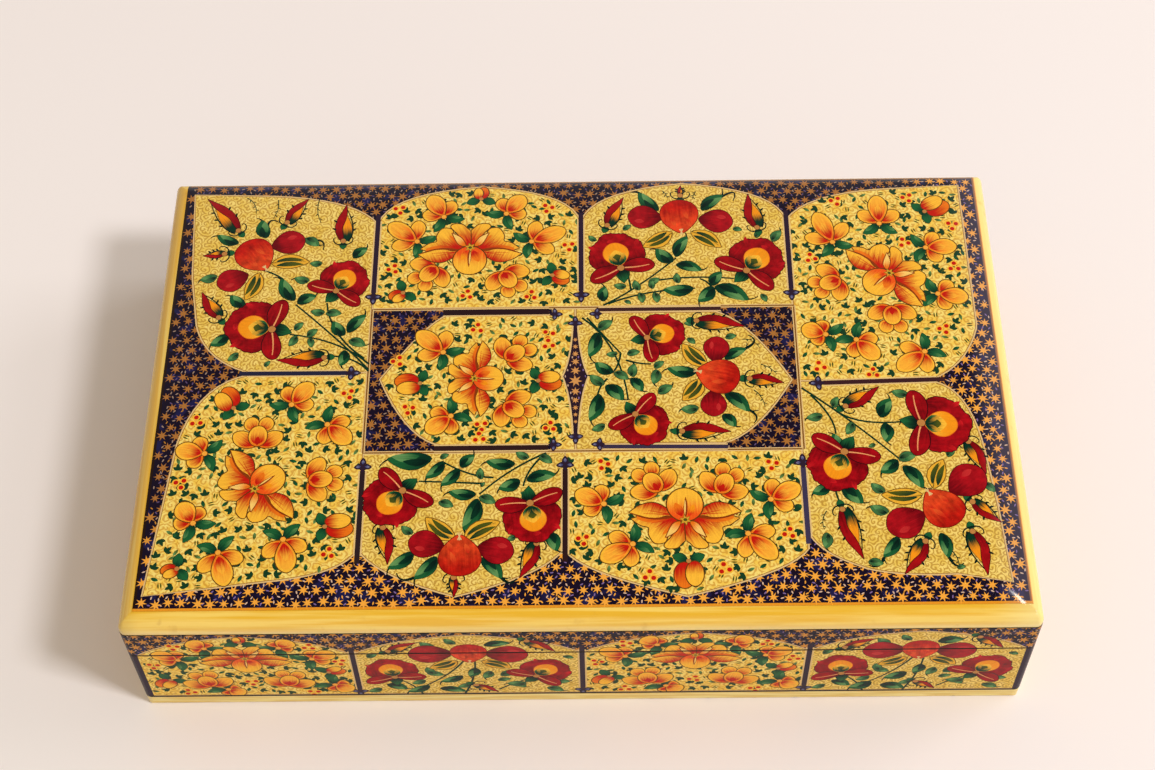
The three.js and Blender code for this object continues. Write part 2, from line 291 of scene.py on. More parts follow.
class Brush:
    """Lays dabs in a motif's own mm: x along the motif, y to its left."""

    def __init__(self, painting, at, along, size=1.0):
        self.painting, self.at = painting, at
        self.turn = size * along / abs(along)

    def dab(self, outline, root, tip=None, start=0.0, end=1.0, **look):
        """One dab given in the motif's own mm."""
        outline, start, end = (self.at + self.turn * p for p in (outline, start, end))
        self.painting.dab(outline, root, tip, start, end, **look)

    def edged(self, outline, edge, thickness, root, tip=None, start=0.0, end=1.0, **look):
        """A dab with a line of another paint left showing round it."""
        self.dab(grown(outline, thickness), edge)
        self.dab(outline, root, tip, start, end, **look)


def handed(outline):
    """1 for an outline that runs anticlockwise and -1 for one that runs clockwise."""
    ahead = np.roll(outline, -1)
    return np.sign((outline.real * ahead.imag - outline.imag * ahead.real).sum())


def grown(outline, by):
    """The outline moved outwards: each point goes along the normal of its two neighbours."""
    along = np.roll(outline, -1) - np.roll(outline, 1)
    return outline - 1j * handed(outline) * by * along / np.maximum(abs(along), 1e-6)


def shrunk(outline, by):
    """The outline drawn in towards its middle by about a distance, never crossing itself."""
    middle = outline.mean()
    return middle + (outline - middle) * (1 - by / abs(outline - middle).mean())


def smooth(points, count=4):
    """A closed Catmull-Rom curve through the points; a point given twice makes a corner."""
    here = np.array(points)[:, None]
    back, ahead, beyond = (np.roll(here, shift, axis=0) for shift in (1, -1, -2))
    t = np.arange(count) / count
    bend = (2 * back - 5 * here + 4 * ahead - beyond) * t**2
    twist = (3 * here - back - 3 * ahead + beyond) * t**3
    return (here + ((ahead - back) * t + bend + twist) / 2).ravel()


def petal(base, tip, width, belly=1.0, fullness=0.8, bend=0.0, count=9):
    """A leaf or petal from base to tip. Its half width is the sine of pi times t to the belly,
    to the power fullness, and its spine is bent sideways by a parabola."""
    t = (1 - np.cos(np.linspace(0, np.pi, count))) / 2
    span = tip - base
    side = 1j * span / abs(span)
    half = width / 2 * np.sin(np.pi * t**belly).clip(0) ** fullness
    spine = base + span * t + side * abs(span) * bend * 4 * t * (1 - t)
    return np.concatenate([spine - side * half, (spine + side * half)[-2:0:-1]])


def oval(centre, along, across, count=24):
    """An ellipse with its two half widths."""
    a = np.linspace(0, 2 * np.pi, count, endpoint=False)
    return centre + (along * np.cos(a) + 1j * across * np.sin(a))


def curve(start, control, end, count=10):
    """Points on a quadratic curve: (1-t)^2 start + 2t(1-t) control + t^2 end."""
    t = np.linspace(0, 1, count)
    return (1 - t) ** 2 * start + 2 * t * (1 - t) * control + t**2 * end


def ribbon(spine, width, tip_width=None):
    """A brush line along a spine, from one width to another."""
    along = np.gradient(spine)
    half = np.linspace(width, width if tip_width is None else tip_width, len(spine)) / 2
    side = 1j * along / np.maximum(abs(along), 1e-6) * half
    return np.concatenate([spine - side, (spine + side)[::-1]])


def joined(*pieces):
    """One outline of points and curves, in order."""
    return np.concatenate([np.atleast_1d(piece) for piece in pieces])


def star(centre, points, outer, inner, turn):
    """A star polygon: its radius steps between outer and inner."""
    a = turn + np.arange(2 * points) * np.pi / points
    return centre + np.where(np.arange(2 * points) % 2, inner, outer) * np.exp(1j * a)


def box_of(x_low, x_high, y_low, y_high):
    """A rectangle's outline."""
    return np.array(
        [x_low + 1j * y_low, x_high + 1j * y_low, x_high + 1j * y_high, x_low + 1j * y_high]
    )


def inside(points, outline):
    """True for each point that a line to the left leaves the outline from an odd number of
    times."""
    a, b = outline[None, :], np.roll(outline, -1)[None, :]
    p = np.atleast_1d(points)[:, None]
    spans = (a.imag > p.imag) != (b.imag > p.imag)
    rise = np.where(a.imag == b.imag, 1, b.imag - a.imag)
    crossing = a.real + (p.imag - a.imag) / rise * (b.real - a.real)
    return (spans & (p.real > crossing)).sum(1) % 2 == 1


def scattered(x_low, x_high, y_low, y_high, pitch, loose, random):
    """Points of a staggered grid, each moved a little at random."""
    columns = np.arange(x_low, x_high, pitch)
    rows = np.arange(y_low, y_high, pitch * 0.87)
    x, y = np.meshgrid(columns, rows)
    x = x + (np.arange(len(rows)) % 2)[:, None] * pitch / 2
    points = (x + 1j * y).ravel()
    return points + loose * (random.uniform(-1, 1, (len(points), 2)) @ (1, 1j))


print("brush ready")

# %% [markdown]
# The palette has few paints, as on the real box: crimson, vermilion and orange for the flowers,
# two greens, a near-black navy with a bluer patch here and there, ochre for stars and outlines,
# and the gold and yellow grounds.

# %% Palette
CRIMSON, CRIMSON_DARK, MAROON = paint(154, 8, 18), paint(100, 2, 12), paint(46, 6, 10)
ROSE_LIGHT = paint(196, 24, 30)
PLUM, PLUM_DEEP, PLUM_LIGHT = paint(164, 14, 24), paint(104, 4, 14), paint(196, 44, 44)
VERMILION, FLAME, SCARLET = paint(222, 52, 20), paint(240, 88, 24), paint(196, 26, 14)
ORANGE, AMBER, GOLDEN = paint(236, 118, 24), paint(246, 150, 24), paint(253, 188, 56)
LEAF_EDGE, LEAF_DARK, LEAF_MID, LEAF_LIGHT = (
    paint(6, 30, 24),
    paint(8, 50, 33),
    paint(30, 94, 52),
    paint(98, 146, 86),
)
OLIVE, OLIVE_EDGE, KHAKI = paint(78, 84, 24), paint(110, 72, 14), paint(216, 160, 48)
TAN, OCHRE, OCHRE_DULL, OUTLINE = (
    paint(190, 128, 66),
    paint(248, 170, 62),
    paint(172, 112, 52),
    paint(96, 56, 14),
)
NAVY, NAVY_BAR, BLUE, BLUE_WHITE = (
    paint(24, 14, 34),
    paint(46, 30, 48),
    paint(58, 62, 108),
    paint(130, 128, 158),
)
PALE_LINE, FLAME_GOLD, RUST = paint(226, 190, 128), paint(252, 206, 110), paint(140, 56, 12)
FLAME_ORANGE, FILLER_GREEN = paint(251, 176, 54), paint(24, 62, 36)
BROWN_GOLD, ORANGE_LINE, DARK_LINE, PALE_FLECK, MAUVE_FLECK = (
    paint(146, 94, 30),
    paint(232, 150, 36),
    paint(38, 20, 10),
    paint(222, 186, 160),
    paint(132, 106, 160),
)
print("palette ready")

# %% [markdown]
# The motifs of the red panels. A rose is a scalloped crimson round seen half from the side, with a
# yellow heart that turns green at its root, two side petals with a pale orange stripe, and an ochre
# dot that the stem ends in. Round fruit, plums, thorny buds, two-toned leaves, twigs and thin stems
# go with it. Each motif is a function of the point that it grows from and the point that it
# reaches.

# %% Motifs of the red panels
THORN_LENGTH, THORN_LEAN = 1.1, 0.9


def stem(painting, start, control, end, width=0.66):
    """A thin stem along a quadratic curve."""
    painting.dab(ribbon(curve(start, control, end), width, width * 0.8), LEAF_DARK)


def leaf(painting, base, tip, bend=0.07):
    """A green leaf, dark along one side and light along the other, with a hooked tip."""
    span = abs(tip - base)
    brush = Brush(painting, base, tip - base)
    width = span * (0.56 if span < 8 else 0.42)
    if span > 5:
        hook = curve(0.7 * span + 0j, (0.98 - 0.04j) * span, (1.08 + 0.2j) * span, 7)
        brush.dab(ribbon(hook, 0.8, 0.25), LEAF_EDGE)
    blade = petal(0, 0.92 * span, width, belly=0.85, fullness=0.75, bend=bend)
    watery = 0.35 if span < 6 else 0.0
    deep, pale = (c + watery * (LEAF_LIGHT - c) for c in (LEAF_DARK, LEAF_MID))
    brush.edged(blade, LEAF_EDGE, 0.14, deep, pale, 0.1 * span, 0.95 * span)
    light = petal(0.26 * span, 0.84 * span, 0.5 * width, belly=0.95, bend=bend)
    brush.dab(light - 0.15j * width, LEAF_MID, LEAF_LIGHT, 0.2 * span, 0.8 * span)
    dark = petal(0.06 * span, 0.6 * span, 0.42 * width, belly=0.95, bend=bend)
    brush.dab(dark + 0.13j * width, LEAF_EDGE, deep, 0.1 * span, 0.6 * span)


def olive_leaf(painting, base, tip, width=5.2):
    """A golden leaf with an olive outline, dark green flanks and a golden rib."""
    span = abs(tip - base)
    brush = Brush(painting, base, tip - base)
    blade = petal(0, span, width, belly=0.9, fullness=0.85, bend=0.05)
    brush.edged(blade, OLIVE_EDGE, 0.28, KHAKI * 0.8, GOLDEN * 0.85)
    for side in (1, -1):
        flank = petal(0.12 * span, 0.86 * span, 0.34 * width, belly=0.9, bend=0.05)
        brush.dab(flank + 0.16j * width * side, LEAF_DARK, OLIVE, 0, 0.85 * span)
    rib = curve(0j, (0.5 + 0.1j) * span, 0.9 * span + 0j, 6)
    brush.dab(ribbon(rib, 0.5, 0.15), KHAKI)
    brush.dab(ribbon(rib + 0.24j, 0.2, 0.1), LEAF_EDGE)


def sprig(painting, start, control, end):
    """A thin dark twig with short thorns that lean forward on both sides."""
    spine = curve(start, control, end, 6)
    painting.dab(ribbon(spine, 0.34, 0.2), LEAF_DARK)
    for k, place in enumerate(spine[1:-1]):
        ahead = spine[k + 2] - spine[k]
        thorn = THORN_LENGTH * ahead * np.exp(1j * (THORN_LEAN if k % 2 else -THORN_LEAN))
        painting.dab(petal(place, place + thorn / abs(ahead), 0.42, count=4), LEAF_DARK)


def curl(painting, start, control, end):
    """The hooked tail of a leaf, thick where it leaves the leaf."""
    painting.dab(ribbon(curve(start, control, end, 8), 1.0, 0.3), LEAF_EDGE)


def dot(painting, at, radius, colour):
    """A round dot of paint."""
    painting.dab(oval(at, radius, radius, count=12), colour)


def plum(painting, base, tip):
    """A dark red plum, narrower where it leaves the fruit."""
    span = abs(tip - base)
    brush = Brush(painting, base, tip - base)
    body = petal(0, span, 0.84 * span, belly=1.25, fullness=0.55, count=15)
    brush.edged(body, MAROON, 0.2, PLUM_DEEP, PLUM, 0, 0.7 * span, mottle=1.0)
    brush.dab(petal(0.5 * span, 0.8 * span, 0.16 * span) + 0.16j * span, PLUM, PLUM_LIGHT, 0, span)


def fruit(painting, at, toward, size=1.0):
    """The vermilion fruit, a round drop whose narrow end points to its olive leaves."""
    brush = Brush(painting, at, toward - at, size)
    body = smooth(
        [
            *[6.9, 5.0 + 2.9j, 2.2 + 5.2j, -1.2 + 5.9j, -4.2 + 4.6j, -5.8 + 1.7j],
            *[-5.8 - 1.7j, -4.2 - 4.6j, -1.2 - 5.9j, 2.2 - 5.2j, 5.0 - 2.9j],
        ]
    )
    rind, blush = paint(110, 12, 8), paint(216, 66, 28)
    brush.edged(body, rind, 0.24, SCARLET * 0.85, blush, -5, 6, mottle=1.3)
    for place, span in ((-2.6 + 1.2j, 4.4), (0.8 - 2.6j, 3.4), (1.6 + 2.2j, 3.4)):
        patch = petal(place, place + span * 1j**0.2, 1.5)
        brush.dab(patch, paint(204, 44, 22), paint(226, 84, 36), place, place + span)
    for lean in (-0.45, 0.0, 0.45):
        rib = 6.4 + np.linspace(-1.2, 1.4, 4) * np.exp(1j * lean)
        brush.dab(ribbon(rib, 0.36, 0.24), PALE_LINE)


def bud(painting, base, tip, side=-1):
    """A thorny bud: a crimson flame with a yellow flank on one side, green at the root."""
    span = abs(tip - base)
    brush = Brush(painting, base, tip - base)
    width = min(0.36 * span, 4.9)

    def shape(*places):
        """Places given as shares of the bud's length and width."""
        return [x * span + 1j * side * y * width for x, y in places]

    brush.edged(petal(-0.4, -3.2, 2.2), LEAF_EDGE, 0.12, LEAF_DARK, LEAF_MID, 0, -3)
    for turn in (1, -1):
        feeler = joined(
            curve(-1.4, -1.6 + 2.6j * turn, 0.4 + 3.0j * turn, 7),
            curve(0.4 + 3.0j * turn, 1.6 + 3.1j * turn, 1.3 + 2.1j * turn, 5)[1:],
        )
        brush.dab(ribbon(feeler, 0.5, 0.28), LEAF_EDGE)
    sepal = curve(*shape((-0.02, 0.3), (0.3, 0.98), (0.96, 0.1)), 9)
    brush.dab(ribbon(sepal, 0.7, 0.25), LEAF_EDGE)
    gold = smooth(
        shape(
            *[(0, 0), (0.04, 0.34), (0.2, 0.54), (0.4, 0.5), (0.6, 0.32), (0.76, 0.1)],
            *[(0.6, -0.1), (0.3, -0.1)],
        )
    )
    brush.edged(gold, LEAF_EDGE, 0.16, LEAF_DARK, AMBER, 0.14 * span, 0.5 * span)
    red = smooth(
        shape(
            *[(0, -0.04), (0.08, -0.3), (0.32, -0.52), (0.6, -0.4), (0.82, -0.1), (1, 0.16)],
            *[(1, 0.16), (0.78, 0.2), (0.58, 0.1), (0.36, -0.08), (0.16, -0.02)],
        )
    )
    brush.edged(red, MAROON, 0.2, paint(112, 4, 12), paint(160, 12, 18), 0, 0.6 * span, mottle=0.8)
    for t, y in ((0.26, 0.62), (0.44, 0.6), (0.62, 0.44), (0.3, -0.5), (0.52, -0.44)):
        foot, end = shape((t, y), (t + 0.04, y))
        outward = 1j * side * np.sign(y)
        brush.dab(petal(foot - 0.3 * outward, end + 1.0 * outward + 0.5, 0.7, count=5), LEAF_EDGE)
    brush.edged(oval(0, 0.85, 0.85, count=12), MAROON, 0.12, TAN)


def rose(painting, root, heart, size=1.0):
    """An open rose seen half from the side, growing from its dot towards its heart."""
    brush = Brush(painting, root, heart - root, size)
    calyx = smooth([1, -1.2 - 1.9j, -3.6 - 1.7j, -5.8 + 0.6j, -5.8 + 0.6j, -3.2 + 1.9j, -1 + 1.8j])
    brush.edged(calyx, LEAF_EDGE, 0.15, LEAF_EDGE, LEAF_MID, -1, -6)
    crown = smooth(
        [
            *[0.4, 1.0 + 3.6j, 0.9 + 6.3j, 2.8 + 8.2j, 5.4 + 8.5j, 8.0 + 7.6j, 10.2 + 6.2j],
            *[11.4 + 4.4j, 13.2 + 2.6j, 13.6 + 0.2j, 12.8 - 2.4j, 12.2 - 4.6j, 10.0 - 6.4j],
            *[8.6 - 8.3j, 5.6 - 8.7j, 2.8 - 8.6j, 1.1 - 6.8j, 1.0 - 3.6j],
        ],
        4,
    )
    step = np.arange(len(crown))
    ragged = np.clip((crown.real - 2) / 3, 0, 1) * (np.sin(1.9 * step) + np.sin(3.1 * step + 1))
    crown = grown(crown, 0.11 * ragged)
    brush.dab(grown(crown, 0.25), MAROON)
    brush.dab(crown, CRIMSON_DARK, CRIMSON, -2.0, 8.0, mottle=1.6)
    for place, reach, lean in (
        (7.8 + 5.2j, 3.6, 0.7),
        (10.6 - 1.2j, 2.8, 1.6),
        (6.4 - 6.4j, 3.4, -0.5),
    ):
        end = place + reach * np.exp(1j * lean)
        brush.dab(petal(place, end, 1.5), CRIMSON, ROSE_LIGHT, place, end, mottle=1.0)
    for side, lean in ((1, 104), (-1, 98)):
        tip = 10.4 * np.exp(1j * np.radians(lean) * side)
        flank = petal(0.2, tip, 5.4, belly=1.3, fullness=0.52, bend=-0.03 * side, count=13)
        brush.edged(flank, MAROON, 0.24, CRIMSON_DARK, CRIMSON, -0.2 * tip, 0.8 * tip, mottle=1.2)
        stripe = curve(0.08 * tip, 0.5 * tip - 0.5, 0.86 * tip + 0.2, 7)
        brush.dab(ribbon(stripe, 0.48, 0.26), paint(236, 156, 98))
    egg = smooth(
        [
            *[0.9, 2.4 + 2.2j, 4.6 + 3.7j, 7.0 + 3.6j, 9.0 + 1.9j, 9.6],
            *[9.0 - 1.9j, 7.0 - 3.6j, 4.6 - 3.7j, 2.4 - 2.2j],
        ]
    )
    brush.edged(egg, ORANGE, 0.22, GOLDEN, AMBER, 0.0, 9.0)
    brush.dab(petal(1.0, 6.9, 5.6, belly=0.85, fullness=0.7), LEAF_MID, GOLDEN, 2.4, 6.8)
    brush.dab(petal(1.0, 5.4, 3.8, belly=0.85, fullness=0.7), LEAF_DARK, OLIVE, 2.2, 5.4)
    for side in (1, -1):
        lick = petal(1.6, 5.2 + 2.6j * side, 1.1)
        brush.dab(lick, LEAF_DARK, KHAKI, 1.8, 5.2)
    brush.edged(oval(0, 1.1, 1.1, count=14), MAROON, 0.14, TAN)


def bouquet(painting, flowers, size=1.0):
    """Lays a red panel's flowers in the painter's order, from the stems to the roses."""
    for kind, line in (("stems", stem), ("sprigs", sprig), ("curls", curl)):
        for a, b, c, d, e, f in flowers.get(kind, ()):
            line(painting, a + 1j * b, c + 1j * d, e + 1j * f)
    for kind, motif in (("leaves", leaf), ("olive", olive_leaf), ("buds", bud), ("plums", plum)):
        for a, b, c, d, *side in flowers.get(kind, ()):
            motif(painting, a + 1j * b, c + 1j * d, *side)
    for a, b in flowers.get("fruit", ()):
        leafy = np.mean([x + 1j * y for x, y, *_ in flowers["olive"]])
        fruit(painting, a + 1j * b, leafy, size)
    for a, b, c, d, *own in flowers.get("roses", ()):
        scale = own[0] if own else flowers.get("rose_size", 1.0)
        rose(painting, a + 1j * b, c + 1j * d, size * scale)


print("motifs of the red panels ready")

# %% [markdown]
# The yellow panels turn round one golden lily, with smaller blossoms, five-petalled flowers and
# orange buds about it. Their ground is filled with tiny leaflets, dashes and red berries, which
# are scattered with a seeded random draw, so that they fall the same way each time.

# %% Motifs of the yellow panels
LEAFLET_SIZE, FILLER_PITCH, FILLER_LOOSE = 1.18, 3.35, 0.9
FILLER_SHARES = (0.38, 0.22, 0.2, 0.2)


def flamed(brush, shape, root, tip, rim=0.6, deep=SCARLET):
    """A golden petal with a brown outline and, inside its rim, a red flame from its root."""
    brush.edged(shape, OUTLINE, 0.3, ORANGE, GOLDEN, root, tip)
    way = tip - root
    brush.dab(shrunk(shape, rim), deep, FLAME_ORANGE, root + 0.22 * way, root + 1.12 * way)


def lily(painting, at, turn, size=1.0):
    """The large golden lily; its round petal points along the turn, given in degrees."""
    brush = Brush(painting, at, np.exp(1j * np.radians(turn)), size)

    def veins(root, *ends):
        """Thin red lines from a root to each end."""
        for end in ends:
            brush.dab(ribbon(np.linspace(root, end, 4), 0.3, 0.1), SCARLET)

    def place(*points):
        """Points of the left half, mirrored while the right side is laid."""
        return [x + 1j * side * y for x, y in points]

    for side in (1, -1):
        low = smooth(
            place(
                *[(-0.2, 0.3), (-3.2, 2.6), (-5.7, 4.3), (-7.9, 6.1), (-9.0, 5.2), (-8.8, 2.6)],
                *[(-7.4, 1.2), (-6.4, 0.05), (-6.4, 0.05), (-2.5, -0.1)],
            )
        )
        brush.edged(low, OUTLINE, 0.32, SCARLET, GOLDEN, *place((-1.5, 0.6), (-10.0, 4.9)))
        veins(*place((-0.8, 0.8), (-5.2, 1.5), (-5.4, 3.2)))
    for side in (1, -1):
        lobe = smooth(
            place(
                *[(0.2, 1.6), (1.6, 5), (0.9, 9.1), (1.4, 12.1), (0.5, 15.2), (0.5, 15.2)],
                *[(-1.5, 12.7), (-2.3, 10.4), (-4.5, 10.4), (-7.2, 8.8), (-7.0, 6.0), (-4.5, 5)],
                (-0.6, 3.0),
            )
        )
        brush.edged(lobe, OUTLINE, 0.32, SCARLET, GOLDEN, *place((1.0, 5.2), (-6.4, 9.8)))
        veins(*place((0.4, 4.2), (-3.2, 7.4), (-2.4, 8.6), (-1.0, 9.8)))
        for foot, end in (((-0.8, 1.0), (-5.0, 3.4)), ((-0.8, 2.6), (-4.6, 6.6))):
            stroke = place(foot, end)
            brush.dab(petal(*stroke, 1.5), SCARLET, ORANGE, *stroke)
        tongue = smooth(place((-0.6, 1.4), (-1.4, 3.7), (-5.4, 5.6), (-5.4, 5.6), (-3.6, 2.8)))
        brush.edged(tongue, RUST, 0.3, ORANGE, FLAME_GOLD, *place((-0.8, 1.6), (-4.4, 4.6)))
        blade = smooth(
            place(
                *[(1.2, 2.4), (3.6, 5.0), (5.6, 8.6), (4.9, 12.6), (2.6, 15.8), (2.6, 15.8)],
                *[(1.4, 12.1), (0.5, 9.1), (1.5, 5.2)],
            )
        )
        brush.edged(blade, OUTLINE, 0.32, SCARLET, GOLDEN, *place((5.8, 8.2), (-0.2, 10.6)))
        veins(*place((1.8, 4.0), (3.2, 10.4), (2.2, 11.8)))
        crease = curve(*place((1.4, 3.0), (-0.8, 9.6), (2.4, 15.4)), 8)
        shade = curve(*place((1.0, 3.0), (-2.2, 8.6), (0.4, 13.6)), 8)
        brush.dab(joined(crease[:-1], shade[::-1]), SCARLET, ORANGE, *place((1, 3), (-1, 14)))
        brush.dab(ribbon(crease, 0.9, 0.3), RUST)
    brush.edged(oval(5.0, 5.3, 5.1, count=26), OUTLINE, 0.36, FLAME, GOLDEN, 1.0, 9.0)
    brush.dab(petal(1.2 + 0.9j, 5.6 + 2.8j, 2.6), SCARLET, ORANGE, 1.8 + 1j, 5.2 + 2.4j)
    brush.dab(petal(1.2 - 0.9j, 5.0 - 2.6j, 2.0), VERMILION, AMBER, 1.4 - 0.8j, 4.6 - 2.0j)
    brush.dab(petal(0.9, 7.6 - 0.3j, 1.2, belly=0.75), RUST)
    brush.dab(petal(1.6 + 0.1j, 6.6 - 0.1j, 0.5), FLAME_GOLD)
    brush.edged(star(0, 6, 1.7, 0.8, 0.2), OLIVE, 0.16, KHAKI)
    brush.dab(oval(0.1, 0.5, 0.6, count=10), OLIVE)


def blossom(painting, base, tip):
    """A small blossom from the side: one long petal, two short ones and two dark leaves."""
    span = abs(tip - base)
    brush = Brush(painting, base, tip - base)
    for side in (1, -1):
        away = np.exp(1j * np.radians(126) * side)
        sepal = petal(0.3 * away, 6.6 * away, 3.1, belly=0.9, bend=0.08 * side)
        brush.edged(sepal, LEAF_EDGE, 0.14, LEAF_DARK, LEAF_MID, 0, 5 * away)
        light = petal(2.6 * away, 5.6 * away, 1.3)
        brush.dab(light + 0.4, LEAF_MID, LEAF_LIGHT, 2 * away, 7 * away)
        aside = np.exp(1j * np.radians(54) * side)
        short = petal(0.6 * aside, 0.70 * span * aside, 4.6, belly=1.35, fullness=0.55)
        flamed(brush, short, 0.4 * aside, 6.0 * aside)
    long_petal = petal(0.4, span, 5.9, belly=1.3, fullness=0.55, count=13)
    flamed(brush, long_petal, 0.0, 0.8 * span, 0.7, FLAME)
    throat = petal(0.12 * span, 0.66 * span, 2.9, belly=0.9)
    brush.dab(throat, SCARLET, FLAME_ORANGE, 0.2 * span, 0.68 * span)
    brush.edged(oval(0, 0.8, 0.8, count=10), RUST, 0.12, OCHRE)


def five_petals(painting, at, turn, size=0.93):
    """Five round petals that fan out along the turn, the middle one lying over the rest."""
    brush = Brush(painting, at, np.exp(1j * np.radians(turn)), size)
    for side in (1, -1):
        far = oval(4.1 + 2.3j * side, 2.5, 2.3, count=18)
        flamed(brush, far, 1.2 + 0.8j * side, 5.6 + 2.8j * side)
    for side in (1, -1):
        root, tip = -4.0 + 0.6j * side, 0.6 + 7.6j * side
        near = petal(root, tip, 5.6, belly=1.15, fullness=0.55, count=13)
        flamed(brush, near, root + 0.8j * side, root + 0.8 * (tip - root))
    flamed(brush, oval(-0.3, 3.7, 2.9, count=20), -3.8, 1.6, 0.7)
    brush.dab(petal(-3.6, -0.4, 1.6), SCARLET * 0.8, SCARLET, -3.6, -0.4)


def orange_bud(painting, base, tip):
    """A fat bud of a red and a golden lobe between two leaves."""
    span = abs(tip - base)
    brush = Brush(painting, base, tip - base)
    for side in (1, -1):
        away = np.exp(1j * np.radians(112) * side)
        leaflet = petal(0.3 * away, 4.8 * away, 3.0)
        brush.edged(leaflet, LEAF_EDGE, 0.16, LEAF_DARK, LEAF_MID, 0, 4 * away)
    back = oval((0.56 - 0.16j) * span, 0.5 * span, 0.36 * span, count=20)
    brush.edged(back, OUTLINE, 0.3, SCARLET, ORANGE, 0.2 * span, 1.1 * span)
    front = oval((0.5 + 0.2j) * span, 0.48 * span, 0.31 * span, count=20)
    brush.edged(front, OUTLINE, 0.3, SCARLET, GOLDEN, 0.05 * span, 0.7 * span)
    brush.dab(oval(0, 0.7, 0.7, count=10), TAN)


def leaflets(painting, at, turn, kind):
    """One filler of the yellow ground: three leaflets, one leaflet or a pair of dashes."""
    brush = Brush(painting, at, np.exp(1j * turn), LEAFLET_SIZE)
    if kind == 0:
        for angle, reach in ((-0.9, 1.4), (0.1, 1.9), (1.0, 1.5)):
            away = np.exp(1j * angle)
            brush.dab(petal(-0.2 * away, reach * away, 1.0, count=6), FILLER_GREEN)
    elif kind == 1:
        brush.dab(petal(-0.9 + 0j, 1.1 + 0j, 1.0, count=6), FILLER_GREEN, LEAF_MID, -1, 1.5)
    elif kind == 2:
        for side in (0.32j, -0.32j):
            brush.dab(petal(side - 0.8, side + 0.8, 0.42, count=5), OLIVE)
    else:
        brush.dab(petal(-0.8 + 0j, 1.2 + 0j, 0.9, count=6), OLIVE, LEAF_LIGHT, -1, 2)


def berries(painting, at, turn):
    """Three red berries with a yellow halo."""
    corners = at + 1.35 * np.exp(1j * (turn + np.arange(3) * 2 * np.pi / 3))
    for radius, colour in ((1.1, GOLDEN), (0.7, SCARLET)):
        for corner in corners:
            dot(painting, corner, radius, colour)


def fillers(painting, outline, random):
    """Strews the ground of a yellow panel with leaflets and dashes."""
    low, high = outline.real.min(), outline.real.max()
    front, back = outline.imag.min(), outline.imag.max()
    places = scattered(low, high, front, back, FILLER_PITCH, FILLER_LOOSE, random)
    places = places[inside(places, grown(outline, -1.2))]
    kinds = random.choice(4, len(places), p=FILLER_SHARES)
    for place, kind, turn in zip(places, kinds, random.uniform(0, 6.28, len(places))):
        leaflets(painting, place, turn, kind)


def lily_bed(painting, flowers, random, size=1.0):
    """Lays a yellow panel's flowers, from the berries to the lily."""
    for a, b in flowers.get("dots", ()):
        berries(painting, a + 1j * b, random.uniform(0, 6.28))
    for a, b, c, d in flowers.get("buds", ()):
        orange_bud(painting, a + 1j * b, c + 1j * d)
    for a, b, c, d in flowers.get("blossoms", ()):
        blossom(painting, a + 1j * b, c + 1j * d)
    for a, b, turn in flowers.get("fives", ()):
        five_petals(painting, a + 1j * b, turn)
    for a, b, turn, scale in flowers.get("lily", ()):
        lily(painting, a + 1j * b, turn, size * scale)


print("motifs of the yellow panels ready")

# %% [markdown]
# The layout of the lid. A ruled centre frame holds a yellow and a red panel side by side, and eight
# panels stand round it, pointed or rounded towards the edge of the lid. Where two panels meet, a
# navy bar runs in from the border and ends in a trefoil. Places are in mm from the middle of the
# lid, x to the right and y to the back, read off the picture to about half a millimetre.

# %% Panels of the lid
LAYOUT_STRETCH, LAYOUT_SHIFT = 0.992 + 1.003j, -0.5j
FIELD_LEFT, FIELD_RIGHT, FIELD_FRONT, FIELD_BACK = -122.8, 124, -72.7, 76
FIELD = box_of(FIELD_LEFT, FIELD_RIGHT, FIELD_FRONT, FIELD_BACK)
FIELD_LINE = 0.8
CENTRE_LEFT, CENTRE_RIGHT, CENTRE_FRONT, CENTRE_BACK = -62.6, 65, -23.4, 27.3
BAR_BACK_LEFT, BAR_BACK_MIDDLE, BAR_BACK_RIGHT = -62.5, 0.8, 64.7
BAR_FRONT_LEFT, BAR_FRONT_MIDDLE, BAR_FRONT_RIGHT = -62.3, -4, 64.3
BAR_LEFT, BAR_RIGHT = 4.5, 0
SPINDLE = -1


def arch(left, right, foot, apex, spring, shoulder):
    """A panel with a pointed arch: straight sides from its foot to the spring, then two
    quadratic curves that meet at the apex; shoulder is their control, from the near side."""
    left_control = left + shoulder.real + 1j * shoulder.imag
    right_control = right - shoulder.real + 1j * shoulder.imag
    return joined(
        left + 1j * foot,
        curve(left + 1j * spring, left_control, apex),
        curve(apex, right_control, right + 1j * spring)[1:],
        right + 1j * foot,
    )


BACK_LEFT_PANEL = joined(
    -121 + 72.5j,
    curve(-96 + 71.6j, -70 + 70j, BAR_BACK_LEFT + 60j),
    BAR_BACK_LEFT + 1j * CENTRE_BACK,
    CENTRE_LEFT + 1j * BAR_LEFT,
    -97 + 1j * BAR_LEFT,
    curve(-100 + 5.5j, -112 + 10j, -115.5 + 22j),
    -118.6 + 40j,
)
BACK_RIGHT_PANEL = joined(
    119.5 + 73j,
    119.5 + 20j,
    curve(119.2 + 18j, 115 + 5j, 105 + 0.4j),
    CENTRE_RIGHT + 1j * BAR_RIGHT,
    CENTRE_RIGHT + 1j * CENTRE_BACK,
    BAR_BACK_RIGHT + 1j * CENTRE_BACK,
    curve(BAR_BACK_RIGHT + 60j, 72 + 71j, 100 + 72j),
)
FRONT_LEFT_PANEL = joined(
    curve(-98 + 4.1j, -113 + 1j, -117 - 20j),
    -121.5 - 69j,
    -100 - 66.5j,
    curve(-88 - 65j, -66 - 63j, BAR_FRONT_LEFT - 55j),
    BAR_FRONT_LEFT + 1j * CENTRE_FRONT,
    CENTRE_LEFT + 1j * BAR_LEFT,
)
